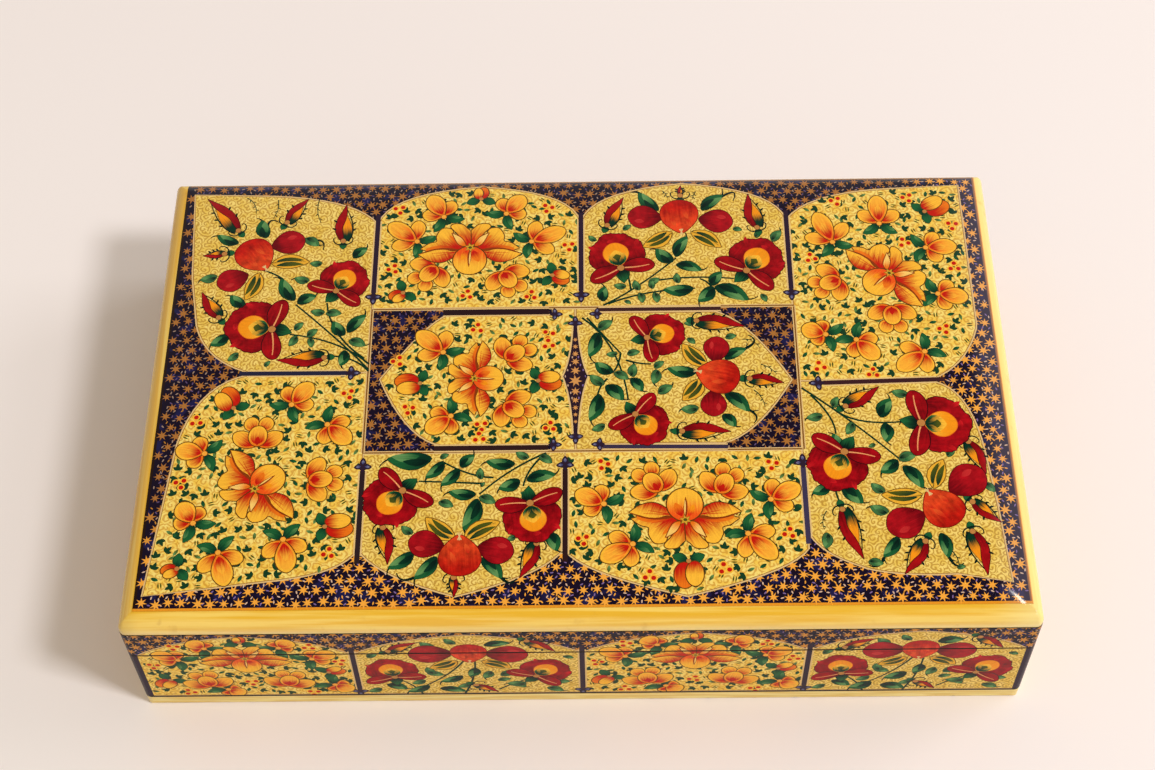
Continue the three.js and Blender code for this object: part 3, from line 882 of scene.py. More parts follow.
FRONT_RIGHT_PANEL = joined(
    CENTRE_RIGHT + 1j * BAR_RIGHT,
    curve(105 - 0.8j, 115 - 4j, 117 - 25j),
    118.6 - 42j,
    120 - 67j,
    curve(105 - 64.4j, 90 - 65.2j, 80 - 62.5j),
    curve(78 - 61.6j, 66 - 57j, BAR_FRONT_RIGHT - 50j),
    BAR_FRONT_RIGHT + 1j * CENTRE_FRONT,
)
YELLOW_CENTRE = joined(
    curve(-59 + 2j, -45.5 + 22.5j, -40 + 24.8j),
    -8 + 24.8j,
    -8 + 26.7j,
    SPINDLE + 26.7j,
    SPINDLE - 22.9j,
    -8 - 22.9j,
    -8 - 21.2j,
    curve(-40 - 21.2j, -50.2 - 19.2j, -59 + 2j)[:-1],
)
RED_CENTRE = joined(
    SPINDLE + 26.7j,
    5 + 26.7j,
    5 + 25.4j,
    curve(41 + 25.4j, 51 + 22.5j, 63 + 0.5j),
    curve(63 + 0.5j, 52 - 18.5j, 42 - 21.2j)[1:],
    6 - 21.2j,
    6 - 22.9j,
    SPINDLE - 22.9j,
)
BACK_FORM, FRONT_RED_FORM, FRONT_YELLOW_FORM = (60, 3 + 72j), (-55, 5 - 63.5j), (-56, 5 - 63.5j)
BACK_YELLOW_PANEL = arch(BAR_BACK_LEFT, BAR_BACK_MIDDLE, CENTRE_BACK, -30.5 + 74.5j, *BACK_FORM)
BACK_RED_PANEL = arch(BAR_BACK_MIDDLE, BAR_BACK_RIGHT, CENTRE_BACK, 32.5 + 75j, *BACK_FORM)
FRONT_RED_PANEL = arch(
    BAR_FRONT_LEFT, BAR_FRONT_MIDDLE, CENTRE_FRONT, -34.5 - 70j, *FRONT_RED_FORM
)
FRONT_YELLOW_PANEL = arch(
    BAR_FRONT_MIDDLE, BAR_FRONT_RIGHT, CENTRE_FRONT, 30 - 70.5j, *FRONT_YELLOW_FORM
)
PANELS = {
    "back_left": (BACK_LEFT_PANEL, "red"),
    "back_yellow": (BACK_YELLOW_PANEL, "yellow"),
    "back_red": (BACK_RED_PANEL, "red"),
    "back_right": (BACK_RIGHT_PANEL, "yellow"),
    "front_left": (FRONT_LEFT_PANEL, "yellow"),
    "front_red": (FRONT_RED_PANEL, "red"),
    "front_yellow": (FRONT_YELLOW_PANEL, "yellow"),
    "front_right": (FRONT_RIGHT_PANEL, "red"),
    "centre_yellow": (YELLOW_CENTRE, "yellow"),
    "centre_red": (RED_CENTRE, "red"),
}
print("panels:", len(PANELS))

# %% [markdown]
# The flowers of each panel. A motif that grows from one point to another takes four numbers, a stem
# takes six with its bend in the middle, and a lily takes its place and the way its round petal
# points. Like an apprentice's pouncing pattern, this says where things go; the motifs say how they
# are painted.

# %% Flowers of the back row
FLOWERS = {}
FLOWERS["back_left"] = {
    "roses": [(-74, 34.5, -71, 40, 0.88), (-92.5, 20.5, -100, 21.5, 1.06)],
    "fruit": [(-100, 48.5)],
    "plums": [(-95, 51.5, -85, 54.5), (-101.5, 41, -110.5, 37)],
    "olive": [(-94.5, 45, -83, 45.5), (-98, 41.5, -101.5, 31.5)],
    "buds": [
        *[(-106, 58, -116, 71, 1), (-91, 61, -85.5, 70.5), (-73, 53.5, -73.5, 67.5)],
        *[(-109.5, 49, -116, 48), (-109, 25, -115.5, 34), (-76, 10, -90, 8.5)],
    ],
    "leaves": [
        *[(-105.5, 53, -113, 56.5), (-97, 55, -99, 62.5), (-85, 54.5, -80, 51.5)],
        *[(-111, 40.5, -116.5, 39), (-79, 45, -83, 45), (-82.5, 38.5, -87.5, 39.5)],
        *[(-69.5, 47, -65, 51), (-86.5, 31, -91.5, 40), (-85.5, 30, -79.5, 33)],
        *[(-101.5, 29, -106.5, 33.5), (-105.5, 18.5, -111, 14.5), (-102, 12, -105, 9)],
        *[(-92, 20, -87, 19.5), (-73.5, 34, -76, 30), (-85.5, 20, -83, 23)],
        *[(-85, 18, -87, 14), (-81.5, 17.5, -78.5, 20.5), (-81, 17, -80, 13.5)],
        *[(-77, 26.5, -81.5, 27), (-76.5, 26, -71.5, 26), (-70.5, 18, -74.5, 23.5)],
        *[(-69.5, 19, -64, 26), (-69, 16, -63.5, 14), (-70, 12.5, -71, 6.5), (-93.5, 7, -92, 9)],
    ],
    "sprigs": [
        *[(-104.5, 71, -101, 69, -101, 64.5), (-94.5, 70, -93.5, 66, -95.5, 62.5)],
        (-81.5, 70, -82.5, 65, -80.3, 60.5),
    ],
    "curls": [(-97, 57, -97.5, 64, -93.5, 61), (-83, 53.5, -78, 55, -79, 50)],
    "stems": [
        *[(-62.5, 5.5, -69.5, 14, -86, 29.5), (-62.5, 7.5, -71.5, 16.5, -87, 18.5)],
        *[(-64, 9.5, -75, 18, -76.5, 30), (-62.5, 5, -67, 10.5, -75, 10.5)],
        (-90.5, 39, -93.5, 41.5, -97, 42.5),
    ],
}
FLOWERS["back_yellow"] = {
    "lily": [(-33.5, 50.5, -90, 1.0)],
    "blossoms": [
        *[(-42, 62.5, -46.5, 71), (-22.5, 63.5, -17, 70.5)],
        *[(-50, 53, -59, 60), (-14.5, 52.5, -4, 57)],
    ],
    "fives": [(-46, 40.5, -130), (-21.5, 38, -61)],
    "buds": [(-30.5, 69.5, -30.5, 74), (-53.5, 33.5, -57, 31), (-8, 39.5, -3, 38)],
    "dots": [(-56, 65.5), (-9.5, 65.5), (-57, 42.5), (-14.5, 32), (-34, 32.5), (-3, 50.5)],
}
FLOWERS["back_red"] = {
    "roses": [(13, 42, 11, 49.5), (51.5, 40.5, 55.5, 46)],
    "fruit": [(31.5, 62)],
    "plums": [(26, 61, 15.5, 62), (37.5, 60.5, 48, 59)],
    "olive": [(29, 55.5, 20, 50), (35, 55.5, 44, 49.5)],
    "buds": [(9, 58.5, 13.5, 69.5), (55.5, 57, 52.5, 70), (32, 70, 32, 74)],
    "leaves": [
        *[(25, 64, 18.5, 72), (38.5, 64, 46, 70.5), (5.5, 52.5, 3, 54.5), (14, 56.5, 16.5, 58.5)],
        *[(48, 56.5, 51, 56), (60, 51.5, 63, 56), (29, 44, 23.5, 49.5), (30, 46, 34, 54.5)],
        *[(30, 43, 38.5, 40.5), (7.5, 29.5, 8, 35.5), (14.5, 35, 10.5, 35.5)],
        *[(18.5, 33.5, 17, 37.5), (18.5, 32.5, 19.5, 28.5), (23, 32.5, 24, 28.5)],
        *[(21.5, 35.5, 25, 38), (35, 34, 25, 33.5), (30.5, 36, 30, 40), (40.5, 35, 44, 40.5)],
        *[(41, 34.5, 36, 28.5), (41.5, 34.5, 52.5, 29), (55.5, 31.5, 57, 28.5)],
        *[(55, 53, 56.5, 56), (14, 29.5, 16, 28.5), (14, 42, 11.5, 38.5), (51, 40, 47.5, 37.5)],
        (22.5, 34, 22.5, 37.5),
    ],
    "sprigs": [(26.5, 72, 27.5, 71, 28, 69), (37, 71.5, 36.2, 70.5, 35.8, 68.6)],
    "curls": [(44, 68.5, 51, 74, 48.6, 67.6), (21.5, 68, 19, 73, 17, 71.5)],
    "stems": [
        *[(7.5, 28, 17.5, 33.5, 30, 45.5), (16, 33.5, 15.5, 37.5, 15, 40)],
        *[(23.5, 37, 34, 39, 47.5, 37.5), (9, 28.5, 19.5, 33.5, 35.5, 34)],
        (40.5, 34.5, 39, 37, 37, 37.5),
    ],
}
FLOWERS["back_right"] = {
    "lily": [(95, 39, -135, 0.96)],
    "blossoms": [
        *[(78.5, 51, 74, 62.5), (93.5, 58, 93.5, 69), (107, 48.5, 116.5, 49)],
        *[(109, 31, 118, 29.5), (74, 16.5, 67, 19), (83, 14.5, 89, 7.5), (103, 10, 94.5, 3.5)],
    ],
    "fives": [(76.5, 35.5, -155), (94.5, 23, -90)],
    "buds": [(108, 62.5, 114.5, 66.5)],
    "dots": [
        *[(80.5, 67), (103, 68), (71.5, 45), (100.5, 50.5), (116, 57), (115, 41)],
        *[(109.5, 18), (71.5, 5), (87, 2.5)],
    ],
}
print("flowers of the back row placed")

# %% [markdown]
# The two panels of the centre frame are painted as if turned a quarter round: their arches point
# left and right.

# %% Flowers of the centre frame
FLOWERS["centre_yellow"] = {
    "lily": [(-31, 2, 0, 0.84)],
    "blossoms": [(-40.5, 11.5, -48.5, 19), (-37.5, -11, -44.5, -16.5)],
    "fives": [(-19, 11, 42), (-19, -9, -38)],
    "buds": [(-47, 0.5, -54, 0), (-12, 1, -5.5, 1)],
    "dots": [
        *[(-54, 8.5), (-30.5, 20), (-9, 17.5), (-9, 14), (-50, -8.5)],
        *[(-28.5, -14.5), (-29, -18.5), (-8.5, -15)],
    ],
}
FLOWERS["centre_red"] = {
    "rose_size": 0.86,
    "roses": [(20.5, 16, 27, 18), (16.5, -11, 20, -15.5)],
    "fruit": [(41.5, 2)],
    "plums": [(40.5, 7, 41.5, 16), (39.5, -3, 39.5, -12)],
    "olive": [(38, 5.5, 31, 13.5), (36.5, 1, 30.5, -6.5)],
    "buds": [(35.5, 22, 50, 20.5), (50.5, 1, 60.5, 0), (30, -17, 44, -16.5)],
    "leaves": [
        *[(5.5, 18, 3, 8.5), (6, 19, 10.5, 22.5), (10, 3.5, 4.5, 7.5), (10.5, 3.5, 15, 1)],
        *[(7.5, -0.5, 3, 3), (8, -1, 13.5, -6.5), (6, -4, 3, -14), (16, 2, 16.5, 7)],
        *[(15.5, 1.5, 19, -3.5), (14.5, 10, 18.5, 11), (11.5, 10.5, 8, 10), (23, 4.5, 22, -1)],
        *[(22.5, 5, 25.5, 7.5), (35, 3.5, 25.5, 5), (23.5, -4, 28, -1), (7.5, -14.5, 3.5, -16.5)],
        *[(43.5, 8, 50.5, 12), (44, 15.5, 47.5, 16.5), (43, -4, 50.5, -11), (42, -11.5, 46, -16)],
        *[(35, -9, 29.5, -9.5), (35, 21.5, 31.5, 21), (32.5, 15.5, 35, 13.5)],
        *[(26.5, -16.5, 28.5, -18), (47.5, 0.5, 50.5, 0.5), (20, 15.5, 16.5, 14.5)],
        (16.5, -10.5, 14, -7),
    ],
    "sprigs": [(51.5, -3, 54, -5, 54.5, -9), (54, 6, 57, 5, 58.5, 2.5), (49, 15, 52, 15.5, 54, 12)],
    "curls": [(49.5, 11.5, 55, 14.5, 50.6, 16.6), (49, -9.5, 53.5, -12, 51, -14.5)],
    "stems": [
        *[(1, 23.5, 12.5, 14, 14.5, -6), (12.5, 10.5, 12, 6, 10, 3.5)],
        *[(8.5, 1.5, 6, -1, 5.5, -4.5), (2.5, 23.5, 8.5, 15.5, 12.5, 10.5)],
        (14, 8, 17.5, 6.5, 21.5, 6.5),
    ],
}
print("flowers of the centre frame placed")

# %% [markdown]
# The front row points to the front edge, as the back row points to the back, so the lid has no
# wrong side to be looked at from.

# %% Flowers of the front row
FLOWERS["front_left"] = {
    "lily": [(-93, -35, 41, 0.95)],
    "blossoms": [
        *[(-84.5, -6.5, -79, 1), (-73.5, -13.5, -66.5, -20), (-108.5, -23, -117, -21.5)],
        *[(-109.5, -46, -114, -39.5), (-83.5, -51.5, -81.5, -62), (-101.5, -55.5, -98.5, -66)],
    ],
    "fives": [(-93.5, -17, 90), (-74, -32, 5)],
    "buds": [(-101.5, -7.5, -105.5, -1.5), (-72, -47.5, -64.5, -47), (-112.5, -60.5, -116.5, -62)],
    "dots": [(-112, -12), (-114.5, -33), (-68, -3), (-70.5, -56)],
}
FLOWERS["front_red"] = {
    "rose_size": 0.95,
    "roses": [(-50.5, -36, -53.5, -39.5), (-14, -40.5, -13, -46)],
    "fruit": [(-33.5, -57.5)],
    "plums": [(-38, -54.5, -48, -52.5), (-28.5, -54.5, -18.5, -56.5)],
    "olive": [(-35, -52, -43.5, -45), (-32.5, -52, -22.5, -46.5)],
    "buds": [(-55.5, -48, -53, -59.5), (-12, -53.5, -16, -64.5), (-35, -64, -34.5, -70)],
    "leaves": [
        *[(-29, -39, -33, -50), (-29.5, -37.5, -38, -36.5), (-28.5, -38.5, -23.5, -40.5)],
        *[(-42.5, -25.5, -56.5, -25.5), (-39, -26.5, -44.5, -32.5), (-34, -28.5, -30, -24)],
        *[(-34.5, -29, -40, -35), (-40, -25.5, -37.5, -24), (-18.5, -27.5, -27.5, -26.5)],
        *[(-14.5, -25.5, -18.5, -23.5), (-11.5, -25, -7.5, -27.5), (-17, -33, -23.5, -36)],
        *[(-15, -33, -6, -31), (-28, -32.5, -28.5, -28.5), (-40, -40, -35.5, -41.5)],
        *[(-47, -50, -50.5, -47.5), (-46.5, -56, -54, -61.5), (-40, -57.5, -46.5, -65)],
        *[(-27.5, -58, -21, -65), (-18, -51, -20.5, -52.5), (-9, -50, -6, -56.5)],
        *[(-50, -34, -46, -33), (-12.5, -38, -17, -37), (-28, -35, -27, -33.5)],
    ],
    "curls": [(-46, -64, -50, -66, -51, -62.5), (-22, -64, -19, -67.5, -17.5, -64.5)],
    "stems": [
        *[(-9.5, -24, -19.5, -28.5, -28.5, -37.5), (-9.5, -24, -15, -29, -16, -35)],
        *[(-27, -34, -35.5, -33.5, -46, -33), (-24.5, -32, -31, -32, -39.5, -26.5)],
    ],
}
FLOWERS["front_yellow"] = {
    "lily": [(30, -46.5, 90, 1.0)],
    "blossoms": [
        *[(7, -41, -1, -37), (54.5, -40, 63, -35.5), (15, -54, 6, -59), (47.5, -51, 55, -59)],
    ],
    "fives": [(21, -34, 121), (41.5, -34.5, 65)],
    "buds": [(30.5, -59.5, 30.5, -67.5)],
    "dots": [(7, -28), (55.5, -28.5), (1, -52.5), (59, -51), (19.5, -64), (40.5, -62)],
}
FLOWERS["front_right"] = {
    "roses": [(99.5, -15, 106, -15.5, 1.08), (76.5, -24.5, 74, -30)],
    "fruit": [(103, -43.5)],
    "plums": [(105.5, -38.5, 115.5, -31), (97.5, -45, 87, -50.5)],
    "olive": [(101, -37, 104.5, -27.5), (97.5, -39, 86, -39)],
    "buds": [
        *[(78, -9, 88.5, -3, 1), (112.5, -21.5, 117, -32), (74.5, -43.5, 78.5, -59.5, 1)],
        *[(97, -54, 91, -64.5), (111.5, -41.5, 118.5, -48.5, 1), (110.5, -51, 114, -64.5)],
    ],
    "leaves": [
        *[(96.5, -5, 91.5, -4), (71, -12, 66, -13), (74.5, -9.5, 76, -5.5), (88, -13, 91.5, -6)],
        *[(89, -15, 89, -22), (79.5, -14.5, 77.5, -19), (85.5, -22, 83.5, -23)],
        *[(92, -27.5, 97.5, -25.5), (91.5, -27.5, 86, -32), (93, -29.5, 98.5, -37.5)],
        *[(87, -38, 83, -35), (71.5, -35.5, 66, -38.5), (75, -37, 81, -42)],
        *[(87.5, -44.5, 82, -42.5), (89.5, -52.5, 84.5, -59.5), (101.5, -51.5, 103, -60)],
        *[(111.5, -12.5, 114, -16.5), (106, -26.5, 108.5, -23.5), (115.5, -35.5, 118.5, -38.5)],
        *[(99, -14, 93.5, -14.5), (76, -23.5, 73.5, -18), (69.5, -51, 69, -56.5)],
        *[(80.5, -60.5, 85, -61), (105, -62.5, 107.5, -62)],
    ],
    "sprigs": [(104, -57, 106, -59.5, 105.5, -63), (70, -44, 68, -47, 69, -50)],
    "curls": [(85, -59, 83.5, -63, 80.5, -61.5), (103, -59, 104.5, -63.5, 107, -61)],
    "stems": [
        *[(65.5, -2.5, 77.5, -12, 92, -27), (74.5, -10, 80, -16, 94.5, -14.5)],
        *[(68, -5, 74.5, -12.5, 74.5, -18.5), (73, -36, 73, -38.5, 74, -41.5)],
    ],
}
print("panels with flowers:", len(FLOWERS))

# %% [markdown]
# The border. Its ground is navy, spotted with ochre stars and pale flecks that leave little of it
# bare. Stars stand on a loose staggered grid and are left out where a panel will cover them. The
# bars between the panels have a pale edge, and end in a trefoil of three small lobes.

# %% Stars, bars and trefoils
STAR_PITCH, STAR_REACH, STAR_WAIST = 3.9, 1.75, 0.64
FLECK_PITCH, CLEAR_OF_STAR = 1.95, 1.2


def starry(painting, x_low, x_high, y_low, y_high, hidden, random, bright):
    """Stars and flecks over a rectangle, except well inside the hidden outlines; bright says
    how bright the ochre is at a place, from 0 to 1."""
    box = (x_low, x_high, y_low, y_high)
    stars = scattered(*box, STAR_PITCH, 0.55, random)
    flecks = scattered(*box, FLECK_PITCH, 0.5, random)
    for outline in hidden:
        stars = stars[~inside(stars, grown(outline, -1.5))]
        flecks = flecks[~inside(flecks, grown(outline, -0.6))]
    flecks = flecks[abs(flecks[:, None] - stars[None, :]).min(1) > CLEAR_OF_STAR]
    draws = zip(flecks, random.uniform(0, 3, len(flecks)), random.random(len(flecks)))
    for at, turn, pale in draws:
        along = np.exp(1j * turn)
        colour = PALE_FLECK if pale < 0.45 else MAUVE_FLECK if pale < 0.75 else OCHRE
        colour = colour * (0.5 + 0.5 * bright(at))
        painting.dab(petal(at - 0.55 * along, at + 0.55 * along, 0.5, count=4), colour)
    for at, turn, size in zip(stars, random.uniform(0, 1, len(stars)), random.random(len(stars))):
        reach = STAR_REACH * (0.84 + 0.28 * size)
        colour = OCHRE_DULL + (OCHRE - OCHRE_DULL) * bright(at)
        painting.dab(star(at, 7, reach, STAR_WAIST * reach / STAR_REACH, turn), colour)


def trefoil(painting, at, along, size=1.0):
    """The end of a bar: three pointed lobes round a knot, each with a dim pale streak."""
    brush = Brush(painting, at, along, size)
    brush.dab(petal(-2.2 + 0j, 1.4 + 0j, 2.2), NAVY_BAR)
    for turn, reach in ((0, 2.9), (100, 2.8), (-100, 2.8)):
        away = np.exp(1j * np.radians(turn))
        brush.dab(petal(-0.5 * away, reach * away, 2.1, belly=0.85, fullness=0.6), NAVY_BAR)
        brush.dab(petal(0.6 * away, 2.1 * away, 0.9), BLUE, BLUE_WHITE, 0.6 * away, 2.4 * away)


def bar(painting, start, end, colour=NAVY_BAR, width=1.5):
    """A dark bar with a pale edge, from the border to its trefoil."""
    along = (end - start) / abs(end - start)
    spine = np.linspace(start, end, 3)
    painting.dab(ribbon(spine, width + 0.9), PALE_LINE)
    painting.dab(ribbon(np.linspace(start - 2.5 * along, end, 3), width), colour)
    trefoil(painting, end + 1.6 * along, along, 0.95)


def panel_ground(painting, outline, kind, edge=0.5):
    """A panel's pale edge line and its gold or yellow ground."""
    painting.dab(grown(outline, 0.2), PALE_LINE)
    painting.dab(grown(outline, 0.25 - edge), BROWN_GOLD)
    ground = GOLD_GROUND if kind == "red" else YELLOW_GROUND
    painting.dab(grown(outline, 0.05 - edge), GOLDEN, ground=ground)


print("border helpers ready")

# %% [markdown]
# The lid's painting, laid in the order of the real one: border, stars, panel grounds, bars, the
# ruled centre frame, the spindle between its two panels, and then the flowers.

# %% Painting of the lid


def star_brightness(at):
    """The stars are brightest along the front and right edges of the lid, and dull elsewhere."""
    return np.clip(max((-40 - at.imag) / 18, (at.real - 100) / 14), 0, 1)


random = np.random.default_rng(7)
lid_painting = Painting(LAYOUT_STRETCH, LAYOUT_SHIFT)
EDGE_LEFT, EDGE_RIGHT = FIELD_LEFT - FIELD_LINE, FIELD_RIGHT + FIELD_LINE
EDGE_FRONT, EDGE_BACK = FIELD_FRONT - FIELD_LINE, FIELD_BACK + FIELD_LINE
lid_painting.dab(box_of(EDGE_LEFT, EDGE_RIGHT, EDGE_FRONT, EDGE_BACK), ORANGE_LINE)
# The field's line stays dark along the left edge only: painted shade on the side away from the
# light.
lid_painting.dab(box_of(EDGE_LEFT, FIELD_RIGHT, FIELD_FRONT, EDGE_BACK), DARK_LINE)
lid_painting.dab(box_of(FIELD_LEFT, EDGE_RIGHT - 0.3, FIELD_FRONT, EDGE_BACK), BROWN_GOLD)
lid_painting.dab(FIELD, NAVY, ground=NAVY_GROUND)
STAR_FIELD = (-121.5, 123.5, -71.4, 75.5)
outlines = [outline for outline, _ in PANELS.values()]
starry(lid_painting, *STAR_FIELD, outlines, random, star_brightness)
for outline, kind in PANELS.values():
    panel_ground(lid_painting, outline, kind)
    if kind == "yellow":
        fillers(lid_painting, outline, random)
BACK_BAR_ROOT, BACK_BAR_END, FRONT_BAR_END = 61, 33.4, -29.4
for x in (BAR_BACK_LEFT, BAR_BACK_MIDDLE, BAR_BACK_RIGHT):
    bar(lid_painting, x + 1j * BACK_BAR_ROOT, x + 1j * BACK_BAR_END)
for x, front, colour in (
    (BAR_FRONT_LEFT, -57, paint(46, 32, 34)),
    (BAR_FRONT_MIDDLE, -57, paint(48, 26, 26)),
    (BAR_FRONT_RIGHT, -52, paint(62, 54, 82)),
):
    bar(lid_painting, x + 1j * front, x + 1j * FRONT_BAR_END, colour)
bar(lid_painting, -98.5 + 4.5j, -69 + 4.4j, paint(38, 36, 60))
bar(lid_painting, 105.5 + 0j, 72 - 0.8j, paint(60, 30, 34))


def rule(painting, start, end, width, colour):
    """A straight ruled line."""
    painting.dab(ribbon(np.linspace(start, end, 3), width), colour)


corners = box_of(CENTRE_LEFT, CENTRE_RIGHT, CENTRE_FRONT, CENTRE_BACK)
for start, end in zip(corners, np.roll(corners, -1)):
    rule(lid_painting, start, end, 1.1, PALE_LINE)
    rule(lid_painting, start, end, 0.45, BROWN_GOLD * 0.8)
for start, end, width, colour in (
    (-41 + 25.9j, -9 + 25.9j, 2.1, paint(42, 22, 26)),
    (6 + 26.4j, 43 + 26.4j, 1.3, paint(62, 32, 32)),
    (-42 - 22.1j, -9 - 22.1j, 1.7, paint(48, 26, 26)),
    (7 - 22.0j, 43 - 22.4j, 1.3, paint(58, 48, 72)),
):
    rule(lid_painting, start, end, width + 0.9, PALE_LINE)
    rule(lid_painting, start, end, width, colour)
for at, along in ((-7 + 24.9j, 1), (5.4 + 24.9j, -1), (-7.2 - 21.2j, 1), (5.8 - 21.2j, -1)):
    trefoil(lid_painting, at, along, 0.8)
half_spindle = joined(
    curve(0.5 + 21.5j, 0.9 + 9j, 3.6 + 2.4j),
    curve(3.6 + 2.4j, 1.0 - 5j, 0.5 - 18.5j)[1:],
)
spindle = SPINDLE + joined(half_spindle, -np.conj(half_spindle)[::-1])
lid_painting.dab(grown(spindle, 0.5), PALE_LINE)
lid_painting.dab(spindle, paint(44, 26, 40))
SPINDLE_STARS = (
    *[(15.5, 0.8), (13, 0.95), (10.4, 1.1), (7.6, 1.35), (4.4, 1.6), (0.8, 2.1)],
    *[(-2.9, 1.5), (-6, 1.2), (-8.6, 0.95), (-11, 0.8), (-13.4, 0.7)],
)
for y, reach in SPINDLE_STARS:
    lid_painting.dab(star(SPINDLE + 1j * y, 7, reach, reach * 0.42, y), paint(214, 150, 84))
SPINDLE_FLECKS = (
    *[(3.0, 2.4), (2.3, 4.6), (1.5, 6.4), (2.2, -0.8)],
    *[(1.4, -3.4), (0.9, 9.2), (1.0, -5.2)],
)
for x, y in SPINDLE_FLECKS:
    for side in (1, -1):
        fleck = petal(side * x - 0.45j, side * x + 0.45j, 0.5, count=4)
        lid_painting.dab(SPINDLE + 1j * y + fleck, MAUVE_FLECK if side > 0 else PALE_FLECK * 0.8)
trefoil(lid_painting, SPINDLE + 21.7j, 1j, 0.85)
trefoil(lid_painting, SPINDLE - 18.7j, -1j, 0.85)

for name, (_, kind) in PANELS.items():
    if kind == "red":
        bouquet(lid_painting, FLOWERS[name])
    else:
        lily_bed(lid_painting, FLOWERS[name], random)
print("dabs on the lid:", len(lid_painting.outlines))

# %% [markdown]
# From painting to mesh. A part of the painting is cut out with a constrained Delaunay
# triangulation: every outline becomes edges of the mesh, and the last dab laid over a triangle is
# the one that shows. The skin of paint is a closed shell, as thin as a coat of lacquer, carried
# onto the crown of the lid or round the corners of the sides by a formula. Extra lines across the
# curved places keep their triangles narrow. The map gives its room to the face that is seen, and
# the rim and the underside share one of its corners.

# %% Cut and carry the paint
SKIN_FOOT, SKIN_TOP = 0.012, 0.075
MAP_MARGIN, MAP_SPAN = 0.02, 0.97
HIDDEN_CORNER = [[0.002, 0.002], [0.010, 0.002], [0.002, 0.010]]
HIDDEN_LOOK = [*paint(24, 18, 14), *paint(24, 18, 14), 0, 0, 0, 0, 0, 0, 0]


def span_of(places):
    """The lowest and the highest corner of the box round some places."""
    return tuple(f(places.real) + 1j * f(places.imag) for f in (np.min, np.max))


def cut(region, painting, lines):
    """Triangulates the painting inside a region; returns points, triangles and the top dab of
    each triangle."""
    low, high = span_of(region)
    shown = [
        k
        for k, o in enumerate(painting.outlines)
        if o.real.max() > low.real
        and o.real.min() < high.real
        and o.imag.max() > low.imag
        and o.imag.min() < high.imag
    ]
    shapes = [region, *[painting.outlines[k] for k in shown]]
    lines = [line for line in lines if crosses(line, low, high)]
    ends = np.cumsum([0, *map(len, shapes)])
    faces = [list(range(a, b)) for a, b in zip(ends[:-1], ends[1:])]
    edges = [(ends[-1] + 2 * k, ends[-1] + 2 * k + 1) for k in range(len(lines))]
    points = np.concatenate([*shapes, *[np.array(line) for line in lines]])
    places = [Vector(pair) for pair in np.stack([points.real, points.imag], 1).tolist()]
    made = delaunay_2d_cdt(places, edges, faces, 1, 1e-5, True)
    top = np.array([max(f) if f and min(f) == 0 else 0 for f in made[5]])
    flat = np.array([v[:] for v in made[0]]) @ (1, 1j)
    triangles = np.array(made[2])[top > 0]
    used, triangles = np.unique(triangles, return_inverse=True)
    return flat[used], triangles.reshape(-1, 3), np.array(shown)[top[top > 0] - 1]


def crosses(line, low, high):
    """True if a line's box meets the region's box."""
    x, y = sorted(p.real for p in line), sorted(p.imag for p in line)
    return x[1] > low.real and x[0] < high.real and y[1] > low.imag and y[0] < high.imag


def filled_mesh(name, points, triangles, normals):
    """A mesh from arrays of points in mm, of triangles and of the normals at the points."""
    mesh = bpy.data.meshes.new(name)
    mesh.vertices.add(len(points))
    mesh.vertices.foreach_set("co", (points * MM).ravel())
    mesh.loops.add(triangles.size)
    mesh.loops.foreach_set("vertex_index", triangles.ravel())
    mesh.polygons.add(len(triangles))
    mesh.polygons.foreach_set("loop_start", np.arange(0, triangles.size, 3))
    mesh.polygons.foreach_set("use_smooth", np.ones(len(triangles), bool))
    mesh.update(calc_edges=True)
    mesh.normals_split_custom_set_from_vertices(normals.tolist())
    return mesh


def placed(name, mesh, material, body):
    """Links a mesh as a piece that rides on a body and takes a finish."""
    piece = bpy.data.objects.new(name, mesh)
    mesh.materials.append(material)
    bpy.context.collection.objects.link(piece)
    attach(piece, body)
    return piece


